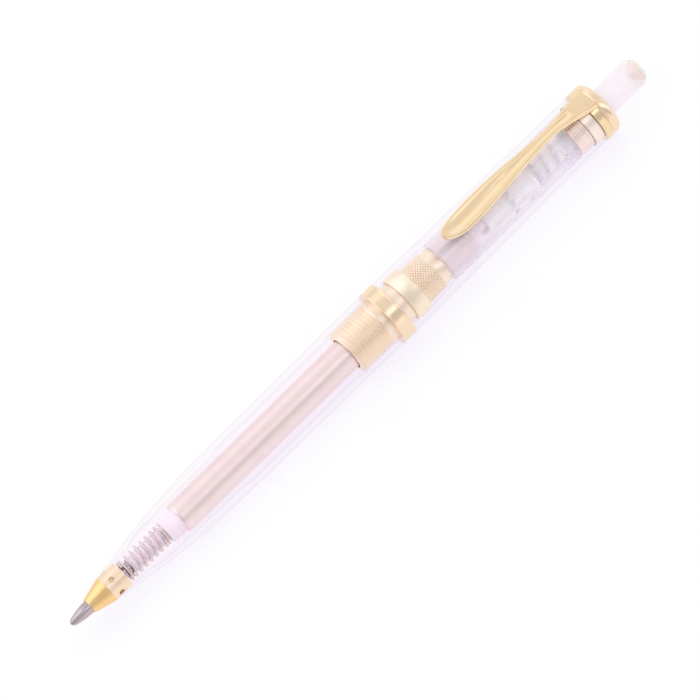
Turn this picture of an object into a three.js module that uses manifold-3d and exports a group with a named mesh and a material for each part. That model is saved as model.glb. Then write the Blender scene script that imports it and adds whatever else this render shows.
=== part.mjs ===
// Clear click-action ballpoint pen with gold trim, in millimetres.
// The pen lies along X with its point towards -X, its clip straight up (+Z) and its
// widest ring on Z = 0. It is drawn in the writing position, with the point out.
// Stations are distances along the axis from the foremost point of the writing ball.
import * as THREE from 'three';
import { mergeVertices } from 'three/addons/utils/BufferGeometryUtils.js';
import Module from 'manifold-3d';

const wasm = await Module();
wasm.setup();

// Clearances
const FIT = 0.05; // radial, between pieces that are fixed to each other
const RUNNING = 0.12; // radial, between pieces that slide or turn
const POINT_CLEARANCE = 0.06; // radial, round the refill's stem in the nose
const BUTTON_CLEARANCE = 0.15; // radial, round the push button
const FACE = 0.04; // axial, between fixed faces that meet
const SEAT = 0.3; // axial, where a moving piece or a spring rests

// Facets round a turned piece
const SHELL_FACETS = 32;
const CORE_FACETS = 24;
const SMALL_FACETS = 16;
const HOLE_FACETS = 10;
const CROWN_STEPS = 5; // facets along the crown's dome
const CAP_STEPS = 3; // facets along the end cap's dome
const WELD = 1e-4; // points nearer than this are one

// Click action
const CLICK_TRAVEL = 5; // how far the point draws back
const OVERTRAVEL = 1.2; // how far the button goes down past its latch

// Refill
const BALL_RADIUS = 0.5;
const BALL_GAP = 0.06;
const BALL_PROUD = 0.3; // what stands out of the socket's lip
const POINT_LIP_RADIUS = 0.62;
const POINT_CONE_LENGTH = 3.2;
const POINT_BULGE = [[0.45, 0.62], [0.8, 0.92]]; // shares of the cone's length and of its rise
const STEM_RADIUS = 1.25;
const INK_DUCT_RADIUS = 0.3;
const STEM_SOCKET_DEPTH = 1.2;
const NECK_RADIUS = 1.55;
const NECK_DUCT_RADIUS = 0.9;
const SHOULDER_STATION = 22.3;
const SHOULDER_RADIUS = 2.5;
const SHOULDER_LENGTH = 3.2;
const SHOULDER_BEVEL = 0.3;
const SHOULDER_BEVEL_LENGTH = 0.6;
const TUBE_RADIUS = 2.95;
const TUBE_WALL = 0.22;
const TUBE_ROLL = 0.12; // how far the tube's front end is rolled in
const TUBE_ROLL_LENGTH = 0.3;
const TUBE_SPIGOT_LENGTH = 3.5;
const REFILL_LENGTH = 98.1;
const PLUG_HEAD_LENGTH = 3.1;
const PLUG_NOTCHES = 6;
const PLUG_NOTCH_DEPTH = 1.3;
const PLUG_NOTCH_SHARE = 0.36; // of the pitch from notch to notch
const PLUG_VENT_RADIUS = 0.7;

// Gold nose
const POINT_REACH = 4.35; // how far the point stands out of the nose
const NOSE_LIP = 0.13;
const NOSE_LIP_LENGTH = 0.15;
const NOSE_LIP_BEVEL = 0.08;
const NOSE_STEP = 0.03; // from the barrel's edge in to the nose
const NOSE_LENGTH = 4.15;
const SHANK_RADIUS = 2.2;
const SHANK_LENGTH = 3.7;
const SHANK_HOLES = 5;
const SHANK_HOLE_RADIUS = 0.55;
const SHANK_HOLE_PLACE = 1.4; // from the shank's front
const SHANK_HOLE_TURN = THREE.MathUtils.degToRad(11.6); // from the clip's plane

// Front barrel
const BARREL_NOSE_RADIUS = 2.6;
const BARREL_LENGTH = 65.9;
const BARREL_JOINT_RADIUS = 5.55;
const NOSE_CONE_SLOPE = 0.146; // rise per millimetre of the conical front
const BODY_TAPER_SLOPE = 0.0078; // rise per millimetre of the long body
const OGIVE_REACH = 9; // of the curve between them, each way from where they meet
const OGIVE_STEPS = 7;
const SPRING_BORE_RADIUS = 2.75;
const SPRING_BORE_LENGTH = 5;
const FUNNEL_FRONT_RADIUS = 3.5;
const FUNNEL_REAR_RADIUS = 3.9;
const FUNNEL_LENGTH = 20.9;
const FUNNEL_DRAFT = 0.1;
const BODY_BORE_RADIUS = 4.25;

// Springs
const RETURN_WIRE = 0.4;
const RETURN_COIL_RADIUS = 1.95;
const RETURN_PITCH = 1.02;
const BUTTON_WIRE = 0.45;
const BUTTON_COIL_RADIUS = 2.85;
const BUTTON_PITCH = 2.2;
const BUTTON_SPRING_PRESSED = 3.6; // its length with the point drawn back
const COIL_STEPS = 8;
const WIRE_SIDES = 5;

// Brass joint between the two barrels
const THREAD_RADIUS = 4.45;
const THREAD_LENGTH = 8.8;
const THREAD_CHAMFER = 0.6;
const THREAD_RUNOUT = 0.3;
const SLEEVE_BORE_RADIUS = 3.2;
const BAND_LENGTH = 2.7;
const BAND_RADIUS = 5.65;
const BAND_EDGE = 0.15;
const SPIGOT_RADIUS = 3.95;
const SPIGOT_LENGTH = 3.7;
const FLANGE_RADIUS = 4.4;
const FLANGE_START = 1.8; // from the band to the flange
const FLANGE_LENGTH = 3.4;
const FLANGE_EDGE = 0.15;
const FLANGE_SLOPE = 0.3; // length of the slope down to the knurl
const KNURL_RADIUS = 3.75;
const KNURL_LENGTH = 4.1;
const SLEEVE_END_RADIUS = 3.45;
const SLEEVE_END_LENGTH = 1.8;

// Rear barrel and its end
const REAR_FRONT_RADIUS = 5.55;
const REAR_END_RADIUS = 5.05;
const REAR_LIP = 0.35; // turned-down front lip that shows as a fine line
const REAR_LIP_SINK = 0.12;
const HOUSING_RADIUS = 4.05;
const BUSHING_LENGTH = 5.1;
const BUSHING_FLANGE_RADIUS = 4.35;
const BUSHING_FLANGE_LENGTH = 2;
const BUSHING_LIP_LENGTH = 1;
const BUSHING_NECK_RADIUS = 3.6;
const BUSHING_NECK_LENGTH = 2.8;
const COLLAR_LENGTH = 1.5;
const COLLAR_EDGE = 0.1;
const RING_RADIUS = 5.22;
const CROWN_LENGTH = 2;
const CROWN_SHOULDER_RADIUS = 4.2;
const CROWN_EDGE = 0.15;
const CROWN_WIDEST = 0.3; // share of its length

// Click mechanism
const GUIDE_BORE_RADIUS = 3.45; // of the housing, in which the lugs run
const GUIDE_COLLAR_LENGTH = 2.6;
const GUIDE_COLLAR_SLOPE = 0.4;
const GUIDE_RIB_RADIUS = 2.78; // inner radius of the guide ribs
const GUIDE_RIB_LENGTH = 3.6;
const LATCH_COUNT = 4; // deep slots, with a latch notch halfway between
const SLOT_HALF_ANGLE = THREE.MathUtils.degToRad(14);
const LUG_HALF_ANGLE = THREE.MathUtils.degToRad(10.5);
const TOOTH_DRAFT = THREE.MathUtils.degToRad(3);
const TOOTH_DEPTH = 0.8;
const LUG_RADIUS = 3.28;
const LUG_LENGTH = 2.5;
const LUG_SETBACK = 0.7;
const LUG_ROOT = 0.3; // how deep the lugs are rooted in the plunger
const CROWN_TOOTH_COUNT = 8;
const CROWN_TOOTH_RADIUS = 2.6;
const CROWN_RING_LENGTH = 2.2;
const CROWN_RING_OVERLAP = 0.4; // with the plunger's tube
const CROWN_BORE_STEP = 0.01; // from the tube's bore out to the crown's
const THRUST_RADIUS = 2.3;
const THRUST_BORE_RADIUS = 1.6;
const THRUST_FLANGE_THICKNESS = 0.6;
const ROTOR_RADIUS = 2.4;
const ROTOR_LENGTH = 5.2;
const ROTOR_EDGE = 0.2;
const ROTOR_PIT_DEPTH = 0.5; // of the hollow in its front face
const ROTOR_RIB_ROOT = 0.2; // how deep its ribs are rooted
const ROTOR_RIB_SETBACK = 1.2;
const ROTOR_RIB_OVERHANG = 0.2; // of the rib tips past the rotor's body
const ROTOR_CLEARANCE = 0.4; // axial, from the rotor's tips to the latch teeth
const JOURNAL_RADIUS = 1.45;
const JOURNAL_LENGTH = 2.4;
const WINDOW_COUNT = 4;
const WINDOW_WIDTH = 2.4;
const WINDOW_LENGTH = 7;

// Push button
const BUTTON_RADIUS = 2.7;
const BUTTON_STAND_OUT = 9.3; // from the crown ring to the button's end
const BUTTON_PEG_RADIUS = 1.7;
const BUTTON_PEG_LENGTH = 5.6;
const BUTTON_RIM = 0.8; // from the rim to the end cap's face
const BUTTON_EDGE = 0.15;
const BUTTON_BEVEL = 0.3;
const CAP_RADIUS = 2.3;
const CAP_CONE_LENGTH = 1.7;
const CAP_TIP_RADIUS = 0.5;
const CAP_FLAT_RADIUS = 1.3;
const CAP_EDGE = 0.2; // height of the straight edge under the cap's dome
const CAP_SEAT = 0.1; // width of the seat under that edge

// Clip
const CLIP_LENGTH = 35; // from the collar's rear face to the tip
const CLIP_ROOT_WIDTH = 5;
const CLIP_WAIST_WIDTH = 2.1;
const CLIP_WAIST_PLACE = 8.4; // from the root
const CLIP_FLARE = 1.25; // 1 for straight sides from the root to the waist
const CLIP_SPADE_WIDTH = 4.4;
const CLIP_SPADE_PLACE = 28;
const CLIP_END_FULLNESS = 2.5; // 2 for an elliptical end
const CLIP_THICKNESS = 1.1;
const CLIP_TIP_THICKNESS = 1;
const CLIP_ROOT_FLAT = 1.5; // length of the flat root
const CLIP_ARCH_GAP = 1.15; // under the arched middle
const CLIP_DESCENT_PLACE = 17.5; // where the arch starts to come down
const CLIP_TOUCH_PLACE = 31.5; // where the underside comes down to the barrel
const CLIP_TOUCH_GAP = 0.3;
const CLIP_TIP_LIFT = 0.55;
const CLIP_GROOVE_START = 3.9;
const CLIP_GROOVE_DEPTH = 0.5;
const CLIP_GROOVE_RAMP = 2; // length over which it reaches its depth
const CLIP_GROOVE_REACH = 0.35; // its half width where it starts, as a share of the clip's
const CLIP_GROOVE_SPREAD_PLACE = 14.4; // where it has spread to the raised edges
const CLIP_GROOVE_HALFWAY = 0.65; // share of its depth halfway out
const CLIP_GROOVE_FADE = 0.6; // share of its depth lost on the way to the spade
const CLIP_GROOVE_STOP = 1.5; // length over which it ends at the tip
const CLIP_EDGE = 0.14; // share of the half width left as a raised edge
const CLIP_TOP_BEVEL = 0.2;
const CLIP_UNDER_BEVEL = 0.2; // share of the half width
const CLIP_UNDER_BEVEL_HEIGHT = 0.25; // share of the thickness
const CLIP_STEPS = 30;

// Stations
const noseFront = POINT_REACH;
const barrelFront = noseFront + NOSE_LENGTH;
const shankEnd = barrelFront + SHANK_LENGTH;
const neckFront = shankEnd + OVERTRAVEL + 2 * SEAT;
const stemEnd = neckFront + STEM_SOCKET_DEPTH - FACE;
const tubeFront = SHOULDER_STATION + SHOULDER_LENGTH;
const tubeEnd = REFILL_LENGTH - PLUG_HEAD_LENGTH;
const barrelEnd = barrelFront + BARREL_LENGTH;
const bandEnd = barrelEnd + BAND_LENGTH;
const flangeStart = bandEnd + FLANGE_START;
const knurlStart = flangeStart + FLANGE_LENGTH;
const knurlEnd = knurlStart + KNURL_LENGTH;
const sleeveEnd = knurlEnd + SLEEVE_END_LENGTH;
const housingFront = sleeveEnd + SEAT;
const rotorFront = REFILL_LENGTH + SEAT;
const rotorRear = rotorFront + ROTOR_LENGTH;
const latchFront = rotorRear + ROTOR_RIB_OVERHANG + ROTOR_CLEARANCE;
const latchRear = latchFront + GUIDE_RIB_LENGTH;
const thrustFlange = latchRear + OVERTRAVEL + SEAT;
const buttonSpringFront = thrustFlange + THRUST_FLANGE_THICKNESS + SEAT;
const buttonSpringRear = buttonSpringFront + CLICK_TRAVEL + BUTTON_SPRING_PRESSED;
const bushingFront = buttonSpringRear + SEAT;
const housingRear = bushingFront - FACE;
const rearEnd = bushingFront + BUSHING_LENGTH;
const collarEnd = rearEnd + COLLAR_LENGTH;
const crownEnd = collarEnd + CROWN_LENGTH;
const bushingLipEnd = bushingFront + BUSHING_LIP_LENGTH;
const buttonFront = bushingLipEnd + OVERTRAVEL + SEAT;
const penLength = crownEnd + BUTTON_STAND_OUT;
const capFace = penLength - BUTTON_RIM;
const capConeFront = capFace - CAP_CONE_LENGTH;

const buttonBore = BUTTON_RADIUS + BUTTON_CLEARANCE;

// Turned solids

function ring(profile, facets) {
  return turned([...profile, profile[0]], facets);
}

function turned(profile, facets) {
  const points = profile.map(([station, radius]) => new THREE.Vector2(radius, station));
  const geometry = new THREE.LatheGeometry(points, facets, Math.PI / facets);
  return bare(geometry.rotateZ(-Math.PI / 2));
}

function bare(geometry) {
  geometry.deleteAttribute('normal');
  geometry.deleteAttribute('uv');
  const merged = mergeVertices(geometry, WELD);
  const index = merged.index.array;
  const kept = [];
  for (let i = 0; i < index.length; i += 3) {
    const [a, b, c] = index.slice(i, i + 3);
    if (a !== b && b !== c && c !== a) kept.push(a, b, c);
  }
  merged.setIndex(kept);
  return merged;
}

// A closed shell from its points and its faces of three or four points each
function shell(points, faces) {
  const geometry = new THREE.BufferGeometry();
  geometry.setAttribute('position', new THREE.Float32BufferAttribute(points.flat(), 3));
  const triangles = faces.flatMap(([a, b, c, d]) => (d === undefined ? [a, b, c] : [a, b, c, a, c, d]));
  geometry.setIndex(triangles);
  return geometry;
}

// Joining and cutting

function toManifold(geometry) {
  const vertProperties = new Float32Array(geometry.attributes.position.array);
  const triVerts = new Uint32Array(geometry.index.array);
  return new wasm.Manifold(new wasm.Mesh({ numProp: 3, vertProperties, triVerts }));
}

function fromManifold(solid) {
  const mesh = solid.getMesh();
  const geometry = new THREE.BufferGeometry();
  geometry.setAttribute('position', new THREE.Float32BufferAttribute(mesh.vertProperties, 3));
  geometry.setIndex([...mesh.triVerts]);
  return geometry;
}

function join(body, additions) {
  return fromManifold(additions.reduce((solid, piece) => solid.add(toManifold(piece)), toManifold(body)));
}

function cut(body, tools) {
  return fromManifold(tools.reduce((solid, piece) => solid.subtract(toManifold(piece)), toManifold(body)));
}

// Points round the axis: angle 0 is straight up, on the clip's side
function around(station, radius, angle) {
  return [station, radius * Math.sin(angle), radius * Math.cos(angle)];
}

// A wall between two radii whose front edge follows the sections' stations.
// Each section is { angle, front, rear }; a closed wall goes all the way round.
function bentWall(sections, inner, outer, closed) {
  const points = sections.flatMap(({ angle, front, rear }) => [
    around(front, inner, angle),
    around(front, outer, angle),
    around(rear, outer, angle),
    around(rear, inner, angle),
  ]);
  const faces = [];
  const strips = closed ? sections.length : sections.length - 1;
  for (let i = 0; i < strips; i++) {
    const p = 4 * i;
    const q = 4 * ((i + 1) % sections.length);
    faces.push([p + 1, p + 2, q + 2, q + 1]);
    faces.push([p, q, q + 3, p + 3]);
    faces.push([p, p + 1, q + 1, q]);
    faces.push([p + 3, q + 3, q + 2, p + 2]);
  }
  if (!closed) {
    const last = 4 * strips;
    faces.push([0, 3, 2, 1]);
    faces.push([last, last + 1, last + 2, last + 3]);
  }
  return shell(points, faces);
}

// Sections of one saw tooth that rises from its tip along the turn, with a steep back
function sawTooth(from, to, tip, depth, rear) {
  const middle = (from + to - TOOTH_DRAFT) / 2;
  return [
    { angle: from, front: tip, rear },
    { angle: middle, front: tip + depth / 2, rear },
    { angle: to - TOOTH_DRAFT, front: tip + depth, rear },
  ];
}

// Copies of a piece, turned evenly about the axis
function turnedCopies(count, make) {
  return Array.from({ length: count }, (_, i) => make((i * 2 * Math.PI) / count));
}

// Springs

// The wire runs straight for one wire diameter at each end, square to its seats.
function coil({ from, to, radius, wire, pitch }) {
  const rise = to - from - 2 * wire;
  const steps = Math.round((COIL_STEPS * rise) / pitch);
  const centres = [around(from, radius, 0)];
  const angles = [0];
  for (let i = 0; i <= steps; i++) {
    const angle = (2 * Math.PI * i) / COIL_STEPS;
    centres.push(around(from + wire + (rise * i) / steps, radius, angle));
    angles.push(angle);
  }
  centres.push(around(to, radius, angles.at(-1)));
  angles.push(angles.at(-1));
  const path = centres.map((centre) => new THREE.Vector3(...centre));
  const points = path.flatMap((centre, i) => {
    const before = path[Math.max(i - 1, 0)];
    const after = path[Math.min(i + 1, path.length - 1)];
    const along = after.clone().sub(before).normalize();
    const outward = new THREE.Vector3(...around(0, 1, angles[i]));
    const across = along.clone().cross(outward).normalize();
    return Array.from({ length: WIRE_SIDES }, (_, k) => {
      const turn = (2 * Math.PI * k) / WIRE_SIDES;
      const point = centre.clone();
      point.addScaledVector(outward, (wire / 2) * Math.cos(turn));
      point.addScaledVector(across, (wire / 2) * Math.sin(turn));
      return point.toArray();
    });
  });
  const faces = [];
  for (let i = 0; i < path.length - 1; i++) {
    for (let k = 0; k < WIRE_SIDES; k++) {
      const next = (k + 1) % WIRE_SIDES;
      const p = i * WIRE_SIDES;
      const q = p + WIRE_SIDES;
      faces.push([p + k, p + next, q + next, q + k]);
    }
  }
  const last = (path.length - 1) * WIRE_SIDES;
  for (let k = 1; k < WIRE_SIDES - 1; k++) {
    faces.push([0, k + 1, k]);
    faces.push([last, last + k, last + k + 1]);
  }
  return { geometry: shell(points, faces), path, wire };
}

// The least gap between one stretch of wire and another, measured on the path's points
function leastGap({ path, wire }) {
  let least = Infinity;
  for (let i = 0; i < path.length; i++) {
    for (let j = i + COIL_STEPS / 2 + 1; j < path.length; j++) {
      least = Math.min(least, path[i].distanceTo(path[j]) - wire);
    }
  }
  return least;
}

// Refill

function makeWritingBall() {
  const geometry = new THREE.SphereGeometry(BALL_RADIUS, SMALL_FACETS, SMALL_FACETS / 2);
  return bare(geometry.rotateZ(-Math.PI / 2).translate(BALL_RADIUS, 0, 0));
}

function makeRefillTip() {
  const coneEnd = BALL_PROUD + POINT_CONE_LENGTH;
  const rise = STEM_RADIUS - POINT_LIP_RADIUS;
  const socket = BALL_RADIUS + BALL_GAP;
  const lipBore = Math.sqrt(BALL_RADIUS ** 2 - (BALL_RADIUS - BALL_PROUD) ** 2) + BALL_GAP;
  const floor = 2 * BALL_RADIUS + BALL_GAP;
  return ring(
    [
      [BALL_PROUD, lipBore],
      [BALL_PROUD, POINT_LIP_RADIUS],
      ...POINT_BULGE.map(([along, out]) => [
        BALL_PROUD + along * POINT_CONE_LENGTH,
        POINT_LIP_RADIUS + out * rise,
      ]),
      [coneEnd, STEM_RADIUS],
      [stemEnd, STEM_RADIUS],
      [stemEnd, INK_DUCT_RADIUS],
      [floor, INK_DUCT_RADIUS],
      [BALL_RADIUS + BALL_GAP, socket],
      [BALL_RADIUS, socket],
    ],
    SMALL_FACETS,
  );
}

function makeRefillShoulder() {
  const spigot = TUBE_RADIUS - TUBE_WALL - FIT;
  return ring(
    [
      [neckFront, STEM_RADIUS + FIT],
      [neckFront, NECK_RADIUS],
      [SHOULDER_STATION, NECK_RADIUS],
      [SHOULDER_STATION, SHOULDER_RADIUS - SHOULDER_BEVEL],
      [SHOULDER_STATION + SHOULDER_BEVEL_LENGTH, SHOULDER_RADIUS],
      [tubeFront - FACE, SHOULDER_RADIUS],
      [tubeFront - FACE, spigot],
      [tubeFront + TUBE_SPIGOT_LENGTH, spigot],
      [tubeFront + TUBE_SPIGOT_LENGTH, NECK_DUCT_RADIUS],
      [neckFront + STEM_SOCKET_DEPTH, NECK_DUCT_RADIUS],
      [neckFront + STEM_SOCKET_DEPTH, STEM_RADIUS + FIT],
    ],
    CORE_FACETS,
  );
}

function makeRefillTube() {
  const bore = TUBE_RADIUS - TUBE_WALL;
  return ring(
    [
      [tubeFront, bore],
      [tubeFront, TUBE_RADIUS - TUBE_ROLL],
      [tubeFront + TUBE_ROLL_LENGTH, TUBE_RADIUS],
      [tubeEnd, TUBE_RADIUS],
      [tubeEnd, bore],
    ],
    CORE_FACETS,
  );
}

function makeRefillEndPlug() {
  const spigot = TUBE_RADIUS - TUBE_WALL - FIT;
  const base = ring(
    [
      [tubeEnd - TUBE_SPIGOT_LENGTH, PLUG_VENT_RADIUS],
      [tubeEnd - TUBE_SPIGOT_LENGTH, spigot],
      [tubeEnd + FACE, spigot],
      [tubeEnd + FACE, TUBE_RADIUS],
      [REFILL_LENGTH, TUBE_RADIUS],
      [REFILL_LENGTH, PLUG_VENT_RADIUS],
    ],
    CORE_FACETS,
  );
  const width = (PLUG_NOTCH_SHARE * 2 * Math.PI * TUBE_RADIUS) / PLUG_NOTCHES;
  const notches = turnedCopies(PLUG_NOTCHES, (angle) => {
    const notch = new THREE.BoxGeometry(2 * PLUG_NOTCH_DEPTH, width, TUBE_RADIUS);
    const depth = TUBE_RADIUS / 2 + 2 * PLUG_VENT_RADIUS;
    return bare(notch.translate(REFILL_LENGTH, 0, depth).rotateX(angle));
  });
  return cut(base, notches);
}

// Nose and front barrel

function makeNoseCone() {
  const bore = STEM_RADIUS + POINT_CLEARANCE;
  const body = ring(
    [
      [noseFront, bore],
      [noseFront, bore + NOSE_LIP],
      [noseFront + NOSE_LIP_LENGTH, bore + NOSE_LIP + NOSE_LIP_BEVEL],
      [barrelFront - FACE, BARREL_NOSE_RADIUS - NOSE_STEP],
      [barrelFront - FACE, SHANK_RADIUS - FIT],
      [shankEnd, SHANK_RADIUS - FIT],
      [shankEnd, bore],
    ],
    CORE_FACETS,
  );
  const holes = turnedCopies(SHANK_HOLES, (angle) => {
    const radius = SHANK_HOLE_RADIUS;
    const hole = new THREE.CylinderGeometry(radius, radius, SHANK_RADIUS, HOLE_FACETS);
    hole.rotateX(Math.PI / 2).translate(barrelFront + SHANK_HOLE_PLACE, 0, SHANK_RADIUS);
    return bare(hole.rotateX(angle + SHANK_HOLE_TURN));
  });
  return cut(body, holes);
}

// The outside of the front barrel: a cone, an ogive and a long slight taper
function frontOutline() {
  const rise = BARREL_JOINT_RADIUS - BARREL_NOSE_RADIUS - BODY_TAPER_SLOPE * BARREL_LENGTH;
  const meeting = rise / (NOSE_CONE_SLOPE - BODY_TAPER_SLOPE);
  const onCone = (x) => new THREE.Vector2(barrelFront + x, BARREL_NOSE_RADIUS + NOSE_CONE_SLOPE * x);
  const start = onCone(meeting - OGIVE_REACH);
  const control = onCone(meeting);
  const end = new THREE.Vector2(control.x + OGIVE_REACH, control.y + OGIVE_REACH * BODY_TAPER_SLOPE);
  const ogive = new THREE.QuadraticBezierCurve(start, control, end).getPoints(OGIVE_STEPS);
  return [
    [barrelFront, BARREL_NOSE_RADIUS],
    ...ogive.map((point) => [point.x, point.y]),
    [barrelEnd - FACE, BARREL_JOINT_RADIUS],
  ];
}

function makeFrontBarrel() {
  const boreStep = shankEnd + SPRING_BORE_LENGTH;
  const funnelEnd = boreStep + FUNNEL_LENGTH;
  const threadFront = barrelEnd - THREAD_LENGTH;
  const threadBore = THREAD_RADIUS + RUNNING;
  return ring(
    [
      ...frontOutline(),
      [barrelEnd - FACE, threadBore],
      [threadFront, threadBore],
      [threadFront - THREAD_RUNOUT, BODY_BORE_RADIUS],
      [funnelEnd, BODY_BORE_RADIUS],
      [funnelEnd, FUNNEL_REAR_RADIUS + FUNNEL_DRAFT],
      [tubeFront, FUNNEL_REAR_RADIUS],
      [boreStep, FUNNEL_FRONT_RADIUS],
      [boreStep, SPRING_BORE_RADIUS],
      [shankEnd + FACE, SPRING_BORE_RADIUS],
      [shankEnd + FACE, SHANK_RADIUS],
      [barrelFront, SHANK_RADIUS],
    ],
    SHELL_FACETS,
  );
}

// Brass joint

function makeThreadSleeve() {
  const front = barrelEnd - THREAD_LENGTH + SEAT;
  return ring(
    [
      [front, SLEEVE_BORE_RADIUS],
      [front, THREAD_RADIUS - THREAD_CHAMFER],
      [front + THREAD_CHAMFER, THREAD_RADIUS],
      [barrelEnd, THREAD_RADIUS],
      [bandEnd, THREAD_RADIUS],
      [bandEnd, SPIGOT_RADIUS],
      [bandEnd + SPIGOT_LENGTH, SPIGOT_RADIUS],
      [bandEnd + SPIGOT_LENGTH, SLEEVE_BORE_RADIUS],
    ],
    SHELL_FACETS,
  );
}

function makeCentreBand() {
  const bore = THREAD_RADIUS + FIT;
  return ring(
    [
      [barrelEnd, bore],
      [barrelEnd, BAND_RADIUS - BAND_EDGE],
      [barrelEnd + BAND_EDGE, BAND_RADIUS],
      [bandEnd - BAND_EDGE, BAND_RADIUS],
      [bandEnd, BAND_RADIUS - BAND_EDGE],
      [bandEnd, bore],
    ],
    SHELL_FACETS,
  );
}

function makeKnurledSleeve() {
  const socket = SPIGOT_RADIUS + FIT;
  const socketEnd = bandEnd + SPIGOT_LENGTH + FACE;
  return ring(
    [
      [flangeStart, socket],
      [flangeStart, FLANGE_RADIUS - FLANGE_EDGE],
      [flangeStart + FLANGE_EDGE, FLANGE_RADIUS],
      [knurlStart - FLANGE_SLOPE, FLANGE_RADIUS],
      [knurlStart, KNURL_RADIUS],
      [knurlEnd, KNURL_RADIUS],
      [knurlEnd, SLEEVE_END_RADIUS],
      [sleeveEnd, SLEEVE_END_RADIUS],
      [sleeveEnd, SLEEVE_BORE_RADIUS],
      [socketEnd, SLEEVE_BORE_RADIUS],
      [socketEnd, socket],
    ],
    CORE_FACETS,
  );
}

// Rear barrel and its fittings

function rearRadiusAt(station) {
  const along = (station - bandEnd) / (rearEnd - bandEnd);
  return THREE.MathUtils.lerp(REAR_FRONT_RADIUS, REAR_END_RADIUS, along);
}

function makeRearBarrel() {
  const front = bandEnd + FACE;
  const counterbore = rearEnd - BUSHING_FLANGE_LENGTH - FACE;
  const flangeBore = FLANGE_RADIUS + FIT;
  const housingBore = HOUSING_RADIUS + FIT;
  return ring(
    [
      [front, REAR_FRONT_RADIUS - REAR_LIP_SINK],
      [front + REAR_LIP, REAR_FRONT_RADIUS - REAR_LIP_SINK],
      [front + REAR_LIP, REAR_FRONT_RADIUS],
      [rearEnd - FACE, REAR_END_RADIUS],
      [rearEnd - FACE, BUSHING_FLANGE_RADIUS + FIT],
      [counterbore, BUSHING_FLANGE_RADIUS + FIT],
      [counterbore, housingBore],
      [housingFront, housingBore],
      [knurlEnd, flangeBore],
      [front, flangeBore],
    ],
    SHELL_FACETS,
  );
}

function makeTopBushing() {
  return ring(
    [
      [bushingFront, THRUST_RADIUS + 2 * RUNNING],
      [bushingFront, HOUSING_RADIUS],
      [rearEnd - BUSHING_FLANGE_LENGTH, HOUSING_RADIUS],
      [rearEnd - BUSHING_FLANGE_LENGTH, BUSHING_FLANGE_RADIUS],
      [rearEnd, BUSHING_FLANGE_RADIUS],
      [rearEnd, BUSHING_NECK_RADIUS],
      [rearEnd + BUSHING_NECK_LENGTH, BUSHING_NECK_RADIUS],
      [rearEnd + BUSHING_NECK_LENGTH, buttonBore],
      [bushingLipEnd, buttonBore],
      [bushingLipEnd, THRUST_RADIUS + 2 * RUNNING],
    ],
    CORE_FACETS,
  );
}

function makeClipCollar() {
  const front = rearEnd + FACE;
  const rear = collarEnd - FACE;
  return ring(
    [
      [front, BUSHING_NECK_RADIUS + FIT],
      [front, RING_RADIUS - COLLAR_EDGE],
      [front + COLLAR_EDGE, RING_RADIUS],
      [rear - COLLAR_EDGE, RING_RADIUS],
      [rear, RING_RADIUS - COLLAR_EDGE],
      [rear, BUSHING_NECK_RADIUS + FIT],
    ],
    SHELL_FACETS,
  );
}

// Rounded like a quarter of an ellipse from its widest ring to its rear face
function makeCrownRing() {
  const widest = collarEnd + CROWN_WIDEST * CROWN_LENGTH;
  const dome = Array.from({ length: CROWN_STEPS + 1 }, (_, i) => {
    const turn = (Math.PI / 2) * (i / CROWN_STEPS);
    const station = widest + (crownEnd - widest) * Math.sin(turn);
    return [station, CROWN_SHOULDER_RADIUS + (RING_RADIUS - CROWN_SHOULDER_RADIUS) * Math.cos(turn)];
  });
  const socketEnd = rearEnd + BUSHING_NECK_LENGTH + FACE;
  return ring(
    [
      [collarEnd, BUSHING_NECK_RADIUS + FIT],
      [collarEnd, RING_RADIUS - CROWN_EDGE],
      ...dome,
      [crownEnd, buttonBore],
      [socketEnd, buttonBore],
      [socketEnd, BUSHING_NECK_RADIUS + FIT],
    ],
    SHELL_FACETS,
  );
}

// Click mechanism

// Guide tube with four windows, and between its slots four wide ribs. Each rib's front
// edge is two saw teeth, and the step between them is the notch that holds the rotor.
function makeMechanismHousing() {
  const collarEndStation = housingFront + GUIDE_COLLAR_LENGTH;
  const tube = ring(
    [
      [housingFront, TUBE_RADIUS + 2 * RUNNING],
      [housingFront, HOUSING_RADIUS],
      [housingRear, HOUSING_RADIUS],
      [housingRear, GUIDE_BORE_RADIUS],
      [collarEndStation, GUIDE_BORE_RADIUS],
      [collarEndStation - GUIDE_COLLAR_SLOPE, TUBE_RADIUS + 2 * RUNNING],
    ],
    CORE_FACETS,
  );
  const wall = (GUIDE_BORE_RADIUS + HOUSING_RADIUS) / 2;
  const slotPitch = (2 * Math.PI) / LATCH_COUNT;
  const ribs = turnedCopies(LATCH_COUNT, (turn) => {
    const from = turn + SLOT_HALF_ANGLE;
    const to = turn + slotPitch - SLOT_HALF_ANGLE;
    const notch = (from + to) / 2;
    const sections = [
      ...sawTooth(from, notch, latchFront, TOOTH_DEPTH, latchRear),
      ...sawTooth(notch, to + TOOTH_DRAFT, latchFront, TOOTH_DEPTH, latchRear),
    ];
    return bentWall(sections, GUIDE_RIB_RADIUS, wall, false);
  });
  const windowStation = thrustFlange + WINDOW_LENGTH / 2 + SEAT;
  const windows = turnedCopies(WINDOW_COUNT, (turn) => {
    const window = new THREE.BoxGeometry(WINDOW_LENGTH, WINDOW_WIDTH, HOUSING_RADIUS);
    return bare(window.translate(windowStation, 0, HOUSING_RADIUS).rotateX(turn + slotPitch / 2));
  });
  return cut(join(tube, ribs), windows);
}

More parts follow.
